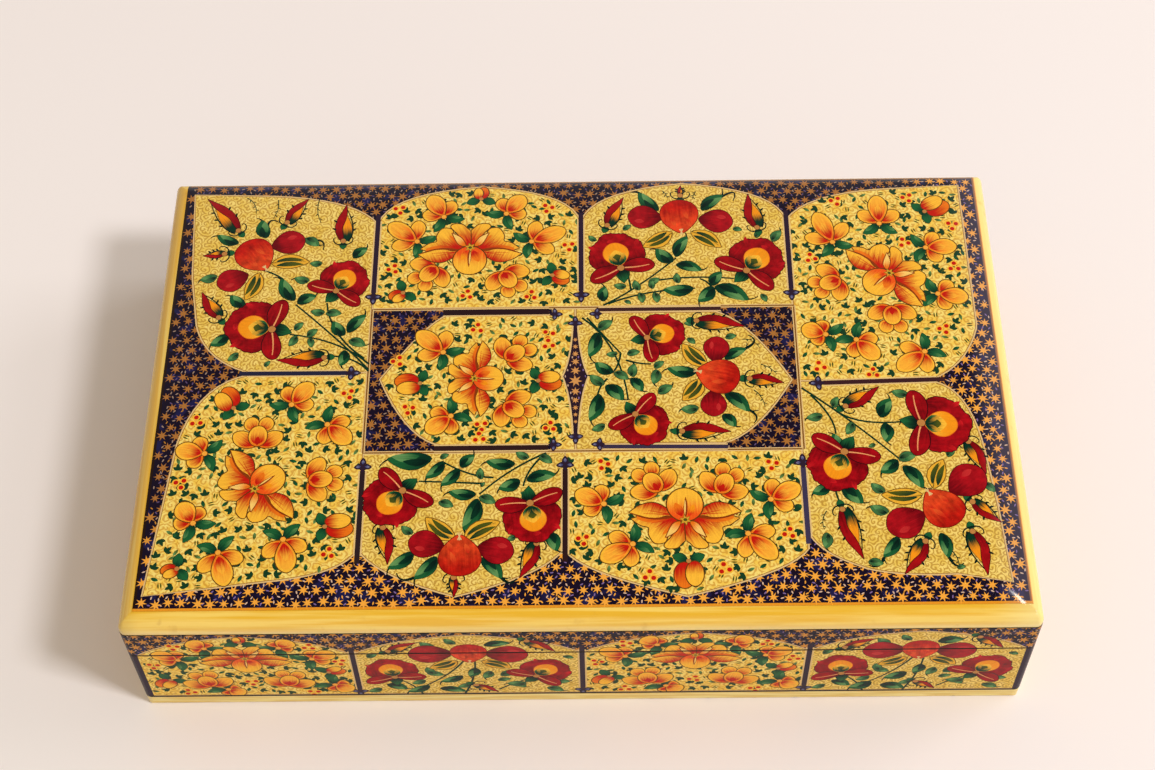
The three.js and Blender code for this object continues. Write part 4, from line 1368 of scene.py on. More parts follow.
def lay_skin(name, region, painting, lines, carry, material, body):
    """Cuts a region of a painting and lays it on the box as a thin closed shell. Each corner
    keeps its dab's look, with its place along the stroke, or in the plane on a ground."""
    flat, triangles, dabs = cut(region, painting, lines)
    outer, normals = carry(flat, SKIN_TOP)
    inner, _ = carry(flat, SKIN_FOOT)
    count = len(flat)
    starts, ends = triangles.ravel(), np.roll(triangles, -1, axis=1).ravel()
    rim = ~np.isin(starts * count + ends, ends * count + starts)
    a, b = starts[rim], ends[rim]
    walls = np.concatenate([np.stack([a, a + count, b + count], 1), np.stack([a, b + count, b], 1)])
    faces = np.concatenate([triangles, triangles[:, ::-1] + count, walls])
    mesh = filled_mesh(
        name, np.concatenate([outer, inner]), faces, np.concatenate([normals, -normals])
    )

    looks = np.tile(np.array(HIDDEN_LOOK, float), (len(faces), 1))
    looks[: len(triangles)] = np.array(painting.looks, float)[dabs]
    corners = np.repeat(looks, 3, axis=0)
    where = flat[faces.ravel() % count]
    start = corners[:, START_X] + 1j * corners[:, START_Y]
    along = (where - start) * (corners[:, RUN_X] + 1j * corners[:, RUN_Y])
    along = np.where(corners[:, GROUND] > 0, where, along)
    stroke = np.stack([along.real, along.imag, corners[:, SEED]], 1)
    kind = np.stack([corners[:, MOTTLE], corners[:, GROUND], np.zeros(len(corners))], 1)
    solid = np.ones((len(corners), 1))
    for key, form, values in (
        ("root_paint", "FLOAT_COLOR", np.hstack([corners[:, ROOT], solid])),
        ("tip_paint", "FLOAT_COLOR", np.hstack([corners[:, TIP], solid])),
        ("stroke", "FLOAT_VECTOR", stroke),
        ("kind", "FLOAT_VECTOR", kind),
    ):
        field = "color" if form == "FLOAT_COLOR" else "vector"
        mesh.attributes.new(key, form, "CORNER").data.foreach_set(field, values.ravel())

    low, high = span_of(flat)
    u, v = (where - low).real / (high - low).real, (where - low).imag / (high - low).imag
    map_places = np.stack([MAP_MARGIN + MAP_SPAN * u, MAP_MARGIN + MAP_SPAN * v], 1)
    seen, hidden = 3 * len(triangles), len(faces) - len(triangles)
    map_places[seen:] = np.tile(HIDDEN_CORNER, (hidden, 1))
    mesh.uv_layers.new(name="OFBake").data.foreach_set("uv", map_places.ravel())
    return placed(name, mesh, material, body)


print("skin of paint:", round(SKIN_TOP - SKIN_FOOT, 3), "mm thick")

# %% [markdown]
# The lid is turned from one board: a long shallow crown near the edge, then a quarter round that
# drops to the side. Its height is a formula of the distance from the nearest edge, so the coat of
# colour, its smooth normals and the painted skins above it all come from that one formula, and the
# sides meet in mitres at the corners, as they do where a plane has worked along each edge.

# %% Shape of the lid
ROUND_RUN, ROUND_DROP, CROWN_RUN, CROWN_DROP = 4.5, 4.2, 14.0, 0.7
CORNER_RADIUS = 2.0
MITRE_EASE = 2.0


def edge_drop(inset):
    """How far the lid lies below its top at an inset from its edge: a quarter ellipse of the
    round's run and drop plus a parabola of the crown's, and the slope of both."""
    out = np.clip(1 - inset / ROUND_RUN, 0, 0.999)
    far = np.clip(1 - inset / CROWN_RUN, 0, 1)
    drop = ROUND_DROP * (1 - np.sqrt(1 - out**2)) + CROWN_DROP * far**2
    slope = ROUND_DROP / ROUND_RUN * out / np.sqrt(1 - out**2) + 2 * CROWN_DROP / CROWN_RUN * far
    return drop, slope


def on_lid(flat, lift):
    """Places in plan carried onto the lid, a lift above it along the normal; the normals of two
    edges blend across their mitre, which the real maker has rubbed smooth."""
    x, y = flat.real, flat.imag
    from_end, from_side = HALF_LENGTH - abs(x), HALF_WIDTH - abs(y)
    drop, slope = edge_drop(np.minimum(from_end, from_side))
    share = 0.5 + 0.5 * np.tanh((from_side - from_end) / MITRE_EASE)
    outward = (share * np.sign(x) + (1 - share) * 1j * np.sign(y)) * slope
    normals = np.stack([outward.real, outward.imag, np.ones(len(flat))], 1)
    normals /= np.linalg.norm(normals, axis=1)[:, None]
    return np.stack([x, y, BOX_HEIGHT - drop], 1) + lift * normals, normals


LID_BENDS = np.array([2.0, 2.5, 3.0, 3.5, 4.0, 4.5, 5.5, 7.0, 9.0, 11.5, 14.0])
REACH = 140  # past the corners of the lid, so that every line crosses it
LID_LINES = []
for d in LID_BENDS:
    for side in (1, -1):
        x, y = side * (HALF_LENGTH - d), side * (HALF_WIDTH - d)
        LID_LINES += [(x - 1j * REACH, x + 1j * REACH), (-REACH + 1j * y, REACH + 1j * y)]
for corner in box_of(-HALF_LENGTH, HALF_LENGTH, -HALF_WIDTH, HALF_WIDTH):
    inwards = np.sign(corner.real) + 1j * np.sign(corner.imag)
    LID_LINES.append((corner, corner - CROWN_RUN * inwards))
print("drop at the edge, mm:", round(float(edge_drop(np.zeros(1))[0][0]), 2))

# %% [markdown]
# The paint's finish. One recipe serves every painted skin, glossy on the lid and duller on the
# sides, because what changes is carried by the mesh: the two colours of the dab, the place along
# and across its stroke, and what kind of paint it is. Brush streaks come from noise stretched along
# the stroke. The gold grounds carry the fine scrolls of the real box, drawn as a spiral round the
# middle of each cell of a Voronoi pattern. A clear coat over all of it is the lacquer. Along the
# right border of the lid, a pale painted reflection of the room is mixed into the colour.

# %% Painted lacquer
STREAK_ALONG, STREAK_ACROSS, STREAK_SHIFT, WANDER = 1.4, 16, 0.55, 1.6
GOLD_SCROLLS, YELLOW_SCROLLS = (2.4, 1.1, -0.5, 0.8), (2.7, 1.3, -0.4, 0.85)
# Tint and share of the painted reflection of the room along the lid's right border.
ROOM_REFLECTION, ROOM_REFLECTION_SHARE = paint(176, 166, 190), 0.12
ROOM_REFLECTION_RIGHT, ROOM_REFLECTION_ABOVE = (114, 121), (43, 45)


def lacquered(finish, colour, roughness, relief, coat, specular=0.0):
    """Colour under a clear coat of lacquer; coat is the share of its full gloss, and specular
    the gloss of the paint itself."""
    return finish.surface(
        {
            "Base Color": colour,
            "Roughness": roughness,
            "Specular IOR Level": specular,
            "Normal": relief,
            "Coat Weight": coat,
            "Coat Roughness": 0.05,
            "Coat IOR": 1.5,
        }
    )


def scrolls(finish, x, y, cell, pitch, low, high):
    """Fine scrolls: a spiral of a pitch round the middle of each cell, in mm. The line is the
    sine of the spiral's turn, stepped from low to high."""
    place = finish.vector(x / cell, y / cell)
    cells = finish.node(
        "ShaderNodeTexVoronoi", {"voronoi_dimensions": "2D"}, {"Vector": place, "Scale": 1.0}
    )
    offset = finish.vector_math("SUBTRACT", place, {1: cells.outputs["Position"]})
    across, up, _ = finish.parts(offset)
    reach = cells.outputs["Distance"]
    turns = Tone(finish, reach) * (2 * np.pi * cell / pitch) + up.math("ARCTAN2", across)
    return turns.math("SINE").step(low, high)


def painted_lacquer(name, coat):
    """The material of the painted skins; coat is how much of the lacquer's gloss is left."""
    finish = Finish(name)
    root, tip = (finish.attribute(name, "Color") for name in ("root_paint", "tip_paint"))
    x, y, seed = finish.parts(finish.attribute("stroke", "Vector"))
    mottle, ground, _ = finish.parts(finish.attribute("kind", "Vector"))
    here = finish.millimetres()

    streak = finish.noise(finish.vector(x * STREAK_ALONG, y * STREAK_ACROSS, seed), 1.0, 1.0)
    patch = finish.noise(here, 0.45, 3.0)
    grain = finish.noise(here, 2.2, 1.0)
    along = x + (streak - 0.5) * STREAK_SHIFT
    dab = finish.mix(along.step(0.05, 0.85), root, tip)
    light = 1 + (streak - 0.5) * 0.35 + (patch - 0.5) * mottle * 1.3 + (grain - 0.5) * 0.2
    dab = finish.shaded(dab, light)

    wander_x = x + (finish.noise(here, 0.5, 1.0) - 0.5) * WANDER
    wander_y = y + (finish.noise(here, 0.43, 1.0) - 0.5) * WANDER
    fine = scrolls(finish, wander_x, wander_y, *GOLD_SCROLLS)
    gold = finish.mix(patch.step(0.35, 0.65), paint(238, 200, 88), paint(250, 220, 122))
    gold = finish.mix(fine * 0.8, gold, paint(184, 136, 48))
    loose = scrolls(finish, wander_x, wander_y, *YELLOW_SCROLLS)
    yellow = finish.mix(patch.step(0.35, 0.65), paint(248, 204, 82), paint(252, 226, 124))
    yellow = finish.mix(loose * 0.72, yellow, paint(206, 146, 48))
    blue_patch = finish.noise(here, 0.22, 1.0).step(0.55, 0.68)
    navy = finish.mix(blue_patch * 0.7, NAVY, paint(34, 34, 84))

    colour = finish.mix(ground.is_near(GOLD_GROUND), dab, gold)
    colour = finish.mix(ground.is_near(NAVY_GROUND), colour, navy)
    colour = finish.mix(ground.is_near(YELLOW_GROUND), colour, yellow)
    # Painted reflection: a pale tint of the room mixed into the colour along the right border of
    # the lid.
    right, _, above = finish.parts(here)
    painted_reflection = right.step(*ROOM_REFLECTION_RIGHT) * above.step(*ROOM_REFLECTION_ABOVE)
    colour = finish.mix(painted_reflection * ROOM_REFLECTION_SHARE, colour, ROOM_REFLECTION)
    relief = finish.bump(grain + fine * 0.4, 0.02)
    return lacquered(finish, colour, 0.42, relief, coat)


painted = painted_lacquer("painted_lid_lacquer", 0.9)
painted_side = painted_lacquer("painted_side_lacquer", 0.4)
print("nodes in the painted lacquer:", len(painted.node_tree.nodes))

# %% [markdown]
# The lid's paint is laid in ten skins that meet along the bars and the ruled frame. Each has a map
# of its own, so that a point of the map stays small beside a stroke of the brush.

# %% Skins of the lid
LEFT_SPLIT, RIGHT_SPLIT = 5, 0
LID_SKINS = {
    "lid_paint_back_left": box_of(EDGE_LEFT, CENTRE_LEFT, LEFT_SPLIT, EDGE_BACK),
    "lid_paint_front_left": box_of(EDGE_LEFT, CENTRE_LEFT, EDGE_FRONT, LEFT_SPLIT),
    "lid_paint_back_yellow": box_of(CENTRE_LEFT, BAR_BACK_MIDDLE, CENTRE_BACK, EDGE_BACK),
    "lid_paint_back_red": box_of(BAR_BACK_MIDDLE, CENTRE_RIGHT, CENTRE_BACK, EDGE_BACK),
    "lid_paint_centre_yellow": box_of(CENTRE_LEFT, SPINDLE, CENTRE_FRONT, CENTRE_BACK),
    "lid_paint_centre_red": box_of(SPINDLE, CENTRE_RIGHT, CENTRE_FRONT, CENTRE_BACK),
    "lid_paint_front_red": box_of(CENTRE_LEFT, BAR_FRONT_MIDDLE, EDGE_FRONT, CENTRE_FRONT),
    "lid_paint_front_yellow": box_of(BAR_FRONT_MIDDLE, CENTRE_RIGHT, EDGE_FRONT, CENTRE_FRONT),
    "lid_paint_back_right": box_of(CENTRE_RIGHT, EDGE_RIGHT, RIGHT_SPLIT, EDGE_BACK),
    "lid_paint_front_right": box_of(CENTRE_RIGHT, EDGE_RIGHT, EDGE_FRONT, RIGHT_SPLIT),
}
faces_made = 0
for name, region in LID_SKINS.items():
    skin = lay_skin(
        name,
        lid_painting.on_board(region),
        lid_painting,
        LID_LINES,
        on_lid,
        painted,
        "lid",
    )
    faces_made += len(skin.data.polygons)
print("triangles of the lid's paint:", faces_made)

# %% [markdown]
# Under the paint lies the lid board with its ochre band. The board of the frame has the right
# shape, but its round has few facets, so the visible coat is worked out finely from the same
# formula: the edge profile is carried round the rounded rectangle of the board, ring by ring.

# %% Coat of the lid board
LEAST_RADIUS = 0.3
# Spans in mm of the band's painted highlight at its foot, painted sheen and painted shade.
FOOT_HIGHLIGHT, SHEEN_SPAN, SHADE_SPAN = (2.2, 5.4), (40, 132), (120, 127)


def rounded_ring(inset, radius, corner_steps=6, side_steps=12):
    """A rounded rectangle at an inset: its corners are quarter circles, its sides straight."""
    radius = max(radius - inset, LEAST_RADIUS)
    long_side, short_side = HALF_LENGTH - inset - radius, HALF_WIDTH - inset - radius
    arc = radius * np.exp(1j * np.linspace(0, np.pi / 2, corner_steps + 1))
    corner = long_side + 1j * short_side + arc
    turned = [corner, -np.conj(corner)[::-1], -corner, np.conj(corner)[::-1]]
    ring = []
    for this, following in zip(turned, turned[1:] + turned[:1]):
        side = np.linspace(this[-1], following[0], side_steps + 1)[1:-1]
        ring += [this, side]
    return np.concatenate(ring)


def lid_coat():
    """The board's skin of colour: rings of the edge profile, closed above and below."""
    under = top_low[2]
    low_edge = [(0.35, under), (0.1, under + 0.1), (0.0, under + 0.35)]
    insets = [0.0, 0.02, 0.1, 0.25, 0.5, 0.85, 1.3, 1.8, 2.4, 3.0, 3.7, 4.5, 6, 8, 10, 12, 14]
    drops = edge_drop(np.array(insets, float))[0]
    profile = low_edge + [(d, BOX_HEIGHT - h) for d, h in zip(insets, drops)]
    rings = [rounded_ring(d, CORNER_RADIUS) for d, _ in profile]
    count, rows = len(rings[0]), len(rings)
    plan = np.concatenate(rings)
    heights = np.repeat([z for _, z in profile], count)
    points = np.stack([plan.real, plan.imag, heights], 1)
    k, r = np.meshgrid(np.arange(count), np.arange(rows - 1))
    a, b = (r * count + k).ravel(), (r * count + (k + 1) % count).ravel()
    walls = np.stack([a, b, b + count, a + count], 1)
    faces = walls.tolist()
    faces += [list(range(count))[::-1], list(range((rows - 1) * count, rows * count))]
    mesh = bpy.data.meshes.new("lid_coat")
    mesh.from_pydata((points * MM).tolist(), [], faces)
    mesh.polygons.foreach_set("use_smooth", np.ones(len(mesh.polygons), bool))
    mesh.set_sharp_from_angle(angle=np.radians(38))
    return mesh


def band_lacquer():
    """Ochre band with streaks along each side and black under the board. It is paler at its foot,
    a painted highlight, and paler towards its right end, a painted sheen of the light from the
    right; along the left side it is browner, painted shade."""
    finish = Finish("ochre_band_lacquer")
    here = finish.millimetres()
    x, y, z = finish.parts(here)
    from_end, from_side = HALF_LENGTH - abs(x), HALF_WIDTH - abs(y)
    on_end = (from_side - from_end).step(-0.2, 0.2)
    long_streak = finish.noise(finish.vector(x * 0.02, from_side * 0.55, z * 0.55), 1.0, 3.0)
    end_streak = finish.noise(finish.vector(y * 0.02, from_end * 0.55, z * 0.55), 1.0, 3.0)
    streak = long_streak * (1 - on_end) + end_streak * on_end
    colour = finish.mix(streak.step(0.38, 0.64), paint(240, 186, 54), paint(252, 214, 104))
    # Painted highlight: the band is mixed paler near its foot.
    foot = (BOX_HEIGHT - z).step(*FOOT_HIGHLIGHT)
    colour = finish.mix(foot * 0.55, colour, paint(250, 228, 156))
    # Painted sheen: paler towards the right end, on the side the light comes from.
    painted_sheen = (x - from_end * 4).step(*SHEEN_SPAN)
    colour = finish.mix(painted_sheen * 0.6, colour, paint(250, 234, 160))
    # Painted shade: browner along the left side, away from the light.
    painted_shade = (x * -1).step(*SHADE_SPAN)
    colour = finish.mix(painted_shade * 0.3, colour, paint(124, 84, 30))
    stain = finish.noise(here, 0.16, 3.0).step(0.60, 0.74)
    colour = finish.mix(stain * 0.35, colour, paint(206, 150, 60))
    colour = finish.mix((z - top_low[2]).step(0.1, 0.3), paint(20, 16, 14), colour)
    return lacquered(finish, colour, 0.4, finish.bump(streak, 0.03), 0.9)


coat = placed("lid_coat", lid_coat(), band_lacquer(), "lid")
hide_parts("lid_top_board")
print("faces of the lid coat:", len(coat.data.polygons))

# %% [markdown]
# The sides are painted after the box is closed, so the pictures run across the seam of the lid and
# are cut by it. Each side is a strip with the length along the side as one place and the height as
# the other, and it wraps half way round the corners at its ends. A long side has four arches and a
# short side two, red and yellow in turn. Places along a side are drawn for an arch of one width and
# spread for the others.

# %% Painting of a side
FOOT_LINE = wall_low[2]
ARCH_FOOT, ARCH_SPRING, ARCH_TOP = FOOT_LINE + 0.9, 31.2, 42.4
DRAWN_WIDTH, PAST_END, STRIP_TOP = 64.5, 8, 46
SIDE_BAR_ROOT, SIDE_BAR_END, END_BAR_TOP = 33, 9, 32
SHOULDER_IN, SHOULDER_DOWN, ROSE_SIZE, LILY_SIZE = 0.16, 2.2, 0.86, 0.82
STARS_LOW, STARS_HIGH, SIDE_STAR_BRIGHTNESS = 20, 44.5, 0.35
BEVEL_START, BEVEL_SLOPE, PAINT_STOP = 76.53, 1.303, 0.15
SIDE_RED = {
    "roses": [(-21.5, 16.5, -22.5, 23), (19, 16.5, 22.5, 21.5)],
    "fruit": [(0.5, 31.5)],
    "plums": [(-4, 31.5, -16.5, 30.5), (5, 31, 17, 30)],
    "olive": [(-3, 26.5, -11, 22), (4, 26.5, 12, 22)],
    "buds": [(-22, 33, -14, 38.5), (17, 38.5, 25, 32.5), (1.5, 11, 8, 6.8)],
    "leaves": [
        *[(-3, 37, -6, 40.5), (5, 36, 13, 37.5), (-9, 35, -13, 38.5), (-28, 29, -25, 32)],
        *[(27, 29, 30, 27.5), (-12, 19, -7, 17.5), (-10, 18.5, -12, 23), (-2, 17, -9, 13)],
        *[(-12, 11, -19, 6.5), (-9, 9, -1, 6.8), (-24, 12, -18, 8.5), (-26, 9.5, -30, 7)],
        *[(2, 22, 0, 16), (6, 20, 4, 15), (9, 17, 14, 20), (12, 13, 16, 9), (8, 14, 12, 15)],
        *[(16, 12, 10, 12), (22, 9, 27, 6.5), (24, 12.5, 29, 13), (-13, 14.5, -17, 12)],
        (0, 12, -4, 9.5),
    ],
    "stems": [
        *[(-14, 5, -16, 12, -21.5, 16), (-2, 5.5, 2, 16, 2, 27), (8, 8, 12, 12, 18.5, 16)],
        (-1, 27, -5, 18, -13, 11),
    ],
}
SIDE_YELLOW = {
    "lily": [(0, 29, -90, 1.0)],
    "blossoms": [
        *[(-20, 28.5, -27, 33), (20, 28.5, 27, 32.5), (-11, 35.5, -15, 40)],
        *[(11, 35.5, 15, 40), (-8, 9.5, -3.5, 6.2), (25, 12, 30, 8)],
    ],
    "fives": [(-13.5, 15, 100), (11.5, 15, 80)],
    "buds": [(-24.5, 16, -28, 11.5), (0, 38.8, 0, 42.2), (24, 20, 28.5, 22)],
    "dots": [(-28, 25), (28, 26.5), (0, 14), (-20, 36.5), (20, 36), (-20, 8), (18, 7)],
}


def moved(flowers, middle, spread):
    """A panel's flowers moved along the side, and spread for a wider arch."""

    def shifted(place, kind):
        """One motif's numbers, those along the side moved."""
        across = (0,) if kind in ("lily", "fives") else (0, 2, 4)
        return [middle + spread * n if i in across else n for i, n in enumerate(place)]

    return {kind: [shifted(place, kind) for place in places] for kind, places in flowers.items()}


def side_painting(edges, first, seed):
    """The painting of one side with arches between the edges, red and yellow in turn."""
    random = np.random.default_rng(seed)
    painting = Painting()
    low, high = edges[0] - PAST_END, edges[-1] + PAST_END
    painting.dab(box_of(low, high, 0, STRIP_TOP), NAVY, ground=NAVY_GROUND)
    arches = []
    for left, right in zip(edges[:-1], edges[1:]):
        middle = (left + right) / 2
        shoulder = SHOULDER_IN * (right - left) + 1j * (ARCH_TOP - SHOULDER_DOWN)
        outline = arch(left, right, ARCH_FOOT, middle + 1j * ARCH_TOP, ARCH_SPRING, shoulder)
        arches.append((middle, (right - left) / DRAWN_WIDTH, outline))
    hidden = [outline for *_, outline in arches]
    box = (low, high, STARS_LOW, STARS_HIGH)
    starry(painting, *box, hidden, random, lambda at: SIDE_STAR_BRIGHTNESS)
    kinds = ["yellow", "red"] if first == "yellow" else ["red", "yellow"]
    for k, (_, _, outline) in enumerate(arches):
        panel_ground(painting, outline, kinds[k % 2])
        if kinds[k % 2] == "yellow":
            fillers(painting, outline, random)
    for edge in edges[1:-1]:
        bar(painting, edge + 1j * SIDE_BAR_ROOT, edge + 1j * SIDE_BAR_END)
    for edge, inward in ((edges[0], 1), (edges[-1], -1)):
        ends = sorted((edge - PAST_END * inward, edge + 0.6 * inward))
        painting.dab(box_of(*ends, 0, END_BAR_TOP), NAVY_BAR)
    for k, (middle, spread, _) in enumerate(arches):
        if kinds[k % 2] == "red":
            bouquet(painting, moved(SIDE_RED, middle, spread), ROSE_SIZE)
        else:
            lily_bed(painting, moved(SIDE_YELLOW, middle, spread), random, LILY_SIZE)
    painting.dab(box_of(low, high, FOOT_LINE - 1, FOOT_LINE + 0.9), DARK_LINE)
    painting.dab(box_of(low, high, wall_high[2] - 0.2, rail_low[2] + 0.2), DARK_LINE)
    return painting


def wrap(turns, half_side, half_across):
    """Carries a strip onto the side that faces front after it is turned by quarter turns: places
    past the straight part bend round the corner by their arc length."""

    def carry(flat, lift):
        """Places on the box at a lift above its side, and the normals there."""
        straight = half_side - CORNER_RADIUS
        beyond = np.maximum(abs(flat.real) - straight, 0) / CORNER_RADIUS
        sign = np.sign(flat.real)
        x = np.where(
            beyond > 0, sign * (straight + CORNER_RADIUS * np.sin(beyond)), flat.real
        )
        y = -(half_across - CORNER_RADIUS) - CORNER_RADIUS * np.cos(beyond)
        facing = sign * np.sin(beyond) - 1j * np.cos(beyond)
        turn = 1j**turns
        plan, facing = (x + 1j * y) * turn, facing * turn
        normals = np.stack([facing.real, facing.imag, np.zeros(len(flat))], 1)
        return np.stack([plan.real, plan.imag, flat.imag], 1) + lift * normals, normals

    return carry


def board_face(along, low, high, carry, falling):
    """The part of a side's strip that a board carries. At the back the rims fall away from the
    seam, so that the lid can lean back, by the bevel's slope times the distance behind its start.
    The paint stops just short of that edge."""
    behind = np.maximum(carry(along + 0j, 0.0)[0][:, 1] - BEVEL_START, 0)
    fall = behind * BEVEL_SLOPE + np.where(behind > 0, PAINT_STOP, 0)
    if falling == "below":
        high = high - fall
    else:
        low = low + fall
    return joined(along + 1j * low, (along + 1j * high)[::-1])


print("side panels ready")

# %% [markdown]
# Each side is cut into skins, one on the body and one on the lid for each arch, because the seam
# parts the picture. Both boards take theirs from the same strip, so that with the lid down the
# flowers run on across the seam.

# %% Skins of the sides
SIDES = {
    "front": (0, HALF_LENGTH, HALF_WIDTH, (-124.8, -64, 0.4, 64, 124.9), "yellow"),
    "right": (1, HALF_WIDTH, HALF_LENGTH, (-76.5, 0, 76.5), "yellow"),
    "back": (2, HALF_LENGTH, HALF_WIDTH, (-124.6, -64.5, 0, 64.5, 124.6), "yellow"),
    "left": (3, HALF_WIDTH, HALF_LENGTH, (-76.5, 0, 76.5), "red"),
}
LAYERS = {
    "body": (wall_low[2], wall_high[2], "below", "box_body"),
    "lid": (rail_low[2], top_low[2], "above", "lid"),
}
BELOW_STRIP, ABOVE_STRIP = -5, 60
arc_half = CORNER_RADIUS * np.pi / 4
faces_made = 0
for side, (turns, half_side, half_across, edges, first) in SIDES.items():
    painting = side_painting(edges, first, 11 + turns)
    reach = half_side - CORNER_RADIUS + arc_half
    bends = half_side - CORNER_RADIUS + arc_half * np.linspace(0, 1, 7)[:-1]
    places = [s * b for b in bends for s in (1, -1)]
    lines = [(x + 1j * BELOW_STRIP, x + 1j * ABOVE_STRIP) for x in places]
    splits = [-reach, *edges[1:-1], reach]
    carry = wrap(turns, half_side, half_across)
    for layer, (low, high, falling, body) in LAYERS.items():
        for k, (left, right) in enumerate(zip(splits[:-1], splits[1:])):
            along = np.array([left, *sorted([*bends, *-bends]), right])
            along = along[(along >= left) & (along <= right)]
            skin = lay_skin(
                f"{layer}_paint_{side}_{k + 1}",
                board_face(along, low, high, carry, falling),
                painting,
                lines,
                carry,
                painted_side,
                body,
            )
            faces_made += len(skin.data.polygons)
print("triangles of the sides' paint:", faces_made)

# %% [markdown]
# The rest of the box is seen at its edges or when it is open: the ochre base board, the black
# lacquer inside, and the small brass hinges with their pins and screws. The boards are nailed to
# the base with plain steel nails.

# %% Base, inside and metal


def base_lacquer():
    """Ochre along the edge of the base board and black lacquer inside and beneath."""
    finish = Finish("base_edge_lacquer")
    here = finish.millimetres()
    x, y, z = finish.parts(here)
    inset = (HALF_LENGTH - abs(x)).math("MINIMUM", HALF_WIDTH - abs(y))
    streak = finish.noise(finish.vector(x * 0.05, y * 0.05, z * 0.9), 1.0, 2.0)
    colour = finish.mix(streak.step(0.4, 0.62), paint(232, 196, 92), paint(248, 226, 140))
    wear = finish.noise(here, 0.35, 4.0).step(0.62, 0.70) * (1 - z.step(0.4, 1.4))
    colour = finish.mix(wear, colour, paint(120, 84, 44))
    colour = finish.mix(inset.step(1.4, 1.8), colour, paint(18, 15, 14))
    return lacquered(finish, colour, 0.4, finish.bump(streak, 0.05), 0.5, 0.25)


def black_lacquer():
    """The lining: black lacquer with faint brown streaks and a little dust in its gloss."""
    finish = Finish("black_lacquer")
    here = finish.millimetres()
    x, y, z = finish.parts(here)
    streak = finish.noise(finish.vector(x * 0.06, y * 0.06, z * 0.8), 1.0, 3.0)
    dust = finish.noise(here, 0.3, 4.0)
    colour = finish.mix(streak.step(0.35, 0.7), paint(16, 13, 12), paint(34, 25, 20))
    relief = finish.bump(streak + dust * 0.3, 0.04)
    return lacquered(finish, colour, 0.3 + dust * 0.25, relief, 0.9, 0.4)


def worn_metal(name, bright, dull, roughness):
    """A metal with dull patches where hands and air have reached it."""
    finish = Finish(name)
    here = finish.millimetres()
    patches = finish.noise(here, 0.9, 4.0)
    scratches = finish.noise(here, 6.0, 2.0)
    colour = finish.mix(patches.step(0.4, 0.66), bright, dull)
    relief = finish.bump(scratches, 0.01)
    return finish.surface(
        {
            "Base Color": colour,
            "Metallic": 1.0,
            "Roughness": patches * 0.3 + roughness,
            "Normal": relief,
        }
    )


finishes = {
    "black_lacquer": black_lacquer(),
    "painted_edges": base_lacquer(),
    "hinge_brass": worn_metal("hinge_brass", paint(214, 176, 96), paint(150, 112, 58), 0.2),
    "steel_wire": worn_metal("steel_wire", paint(176, 174, 170), paint(110, 98, 88), 0.28),
}


def finish_of(node):
    """The finish of a node of the frame, by what it is made of."""
    if "nail" in node or "screw" in node or "pin" in node:
        return finishes["steel_wire" if "nail" in node else "hinge_brass"]
    if "hinge" in node:
        return finishes["hinge_brass"]
    return finishes["painted_edges" if node == "base_board" else "black_lacquer"]


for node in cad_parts:
    part = bpy.data.objects[node]
    for slot in part.material_slots:
        slot.material = finish_of(node)
print("nodes dressed:", len(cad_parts))

# %% [markdown]
# The box stands on a pale warm floor under a broad soft light from the right, with white walls all
# round. Lacquer shows what it faces, so the sky here is bright near the horizon, where the walls
# are, and dimmer overhead: the far edge of the lid picks up the walls and the middle stays deep. A
# narrow bright pane that only reflections see leaves the small glint at the front right corner. The
# lamp that stands for the wall is kept out of reflections, or its image would wash out the lid.

# %% Floor and light


def pale_floor():
    """A warm white floor, painted a shade paler to the left and front, where less lamp light
    reaches.
    """
    finish = Finish("pale_floor")
    x, y, _ = finish.parts(finish.millimetres())
    # Painted light: the floor's colour is paler to the left and front, making up for the lamps'
    # falloff.
    paler = (x * -0.8 + y * -0.6).step(-60, 420)
    colour = finish.mix(paler, paint(248, 240, 239), paint(252, 246, 242))
    return finish.surface({"Base Color": colour, "Roughness": 0.9, "Specular IOR Level": 0.0})


FLOOR_REACH = 4000
floor_points = np.array([[-1, -1, 0], [1, -1, 0], [1, 1, 0], [-1, 1, 0]]) * FLOOR_REACH * MM
floor_mesh = bpy.data.meshes.new("floor")
floor_mesh.from_pydata(floor_points.tolist(), [], [[0, 1, 2, 3]])
floor_mesh.materials.append(pale_floor())
floor = bpy.data.objects.new("floor", floor_mesh)
bpy.context.collection.objects.link(floor)

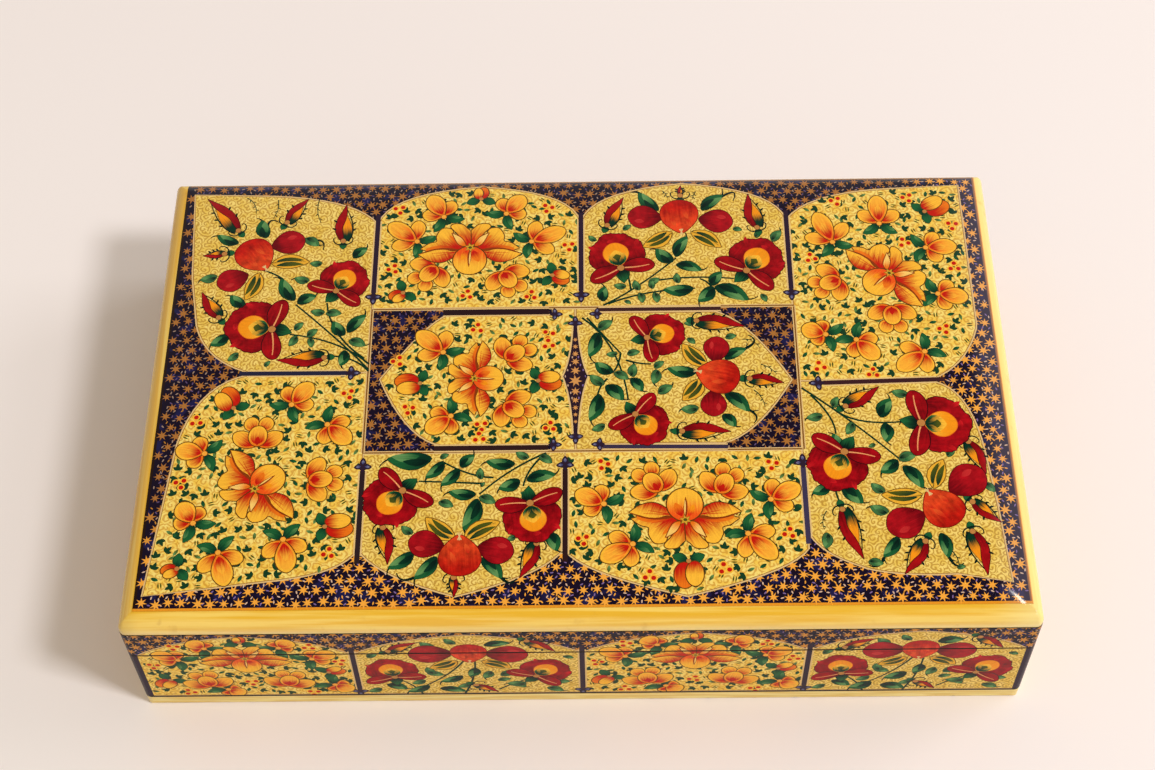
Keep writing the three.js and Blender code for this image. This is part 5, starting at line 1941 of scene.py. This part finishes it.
WORLD_LEVEL, KEY_LEVEL, FILL_LEVEL = 0.50, 0.395, 0.13
PANE_LEVEL, PANE_EAST, PANE_SLANT = 20, 0.254, 0.075
PANE_EDGE, PANE_FAR, PANE_FOOT = (0.008, 0.018), (0.39, 0.43), (0.3, 0.4)
OVERHEAD, OVERHEAD_DIMMING = (0.50, 0.86), 0.95
bpy.context.scene.world = bpy.data.worlds.new("pale_room")
room = Finish(bpy.context.scene.world)
direction = room.node("ShaderNodeTexCoord").outputs["Generated"]
east, north, height = room.parts(direction)
path = room.node("ShaderNodeLightPath").outputs
seen = Tone(room, path["Is Camera Ray"])
mirrored = Tone(room, path["Is Glossy Ray"])
overhead = height.step(*OVERHEAD)
across = abs(east + north * PANE_SLANT - PANE_EAST)
pane = (1 - across.step(*PANE_EDGE)) * (1 - north.step(*PANE_FAR)) * height.step(*PANE_FOOT)
glow = (
    seen
    + (1 - seen) * mirrored * (1.0 - OVERHEAD_DIMMING * overhead + pane * PANE_LEVEL)
    + (1 - seen) * (1 - mirrored) * WORLD_LEVEL
)
bounce = (1 - seen) * (1 - mirrored)
hue = room.mix(bounce, paint(253, 247, 243), paint(255, 244, 226))
sky = room.node("ShaderNodeBackground", None, {"Color": hue, "Strength": glow})
room.node("ShaderNodeOutputWorld", None, {"Surface": sky.outputs[0]})


def soft_light(name, at, aim, size, watts, colour):
    """A square lamp at a place in metres, turned towards another."""
    lamp = bpy.data.lights.new(name, "AREA")
    lamp.shape, lamp.size = "SQUARE", size
    lamp.energy, lamp.color = watts, colour
    holder = bpy.data.objects.new(name, lamp)
    away = Vector(at) - Vector(aim)
    holder.matrix_world = Matrix.Translation(at) @ away.to_track_quat("Z", "Y").to_matrix().to_4x4()
    bpy.context.collection.objects.link(holder)
    return holder


def watts_for(level, at):
    """The power of a small lamp that gives a level of light on the floor at the middle: the level
    times pi squared and the distance squared, over the cosine of the light's slant."""
    away = Vector(at).length
    return level * np.pi**2 * away**2 / (at[2] / away)


KEY_AT, KEY_SIZE = (1.54, -0.79, 2.20), 0.48
FILL_AT, FILL_SIZE = (2.60, 0.80, 1.50), 1.6
DAYLIGHT = (0.98, 0.98, 1.0)
key_watts, fill_watts = watts_for(KEY_LEVEL, KEY_AT), watts_for(FILL_LEVEL, FILL_AT)
soft_light("window", KEY_AT, (0, 0, 0), KEY_SIZE, key_watts, DAYLIGHT)
wall = soft_light("wall", FILL_AT, (0, 0, 0), FILL_SIZE, fill_watts, DAYLIGHT)
wall.visible_glossy = False
print("lamps:", round(key_watts, 1), round(fill_watts, 1), "W")

# %% [markdown]
# Last, the view is left plain.

# %% View transform
bpy.context.scene.view_settings.view_transform = "Standard"
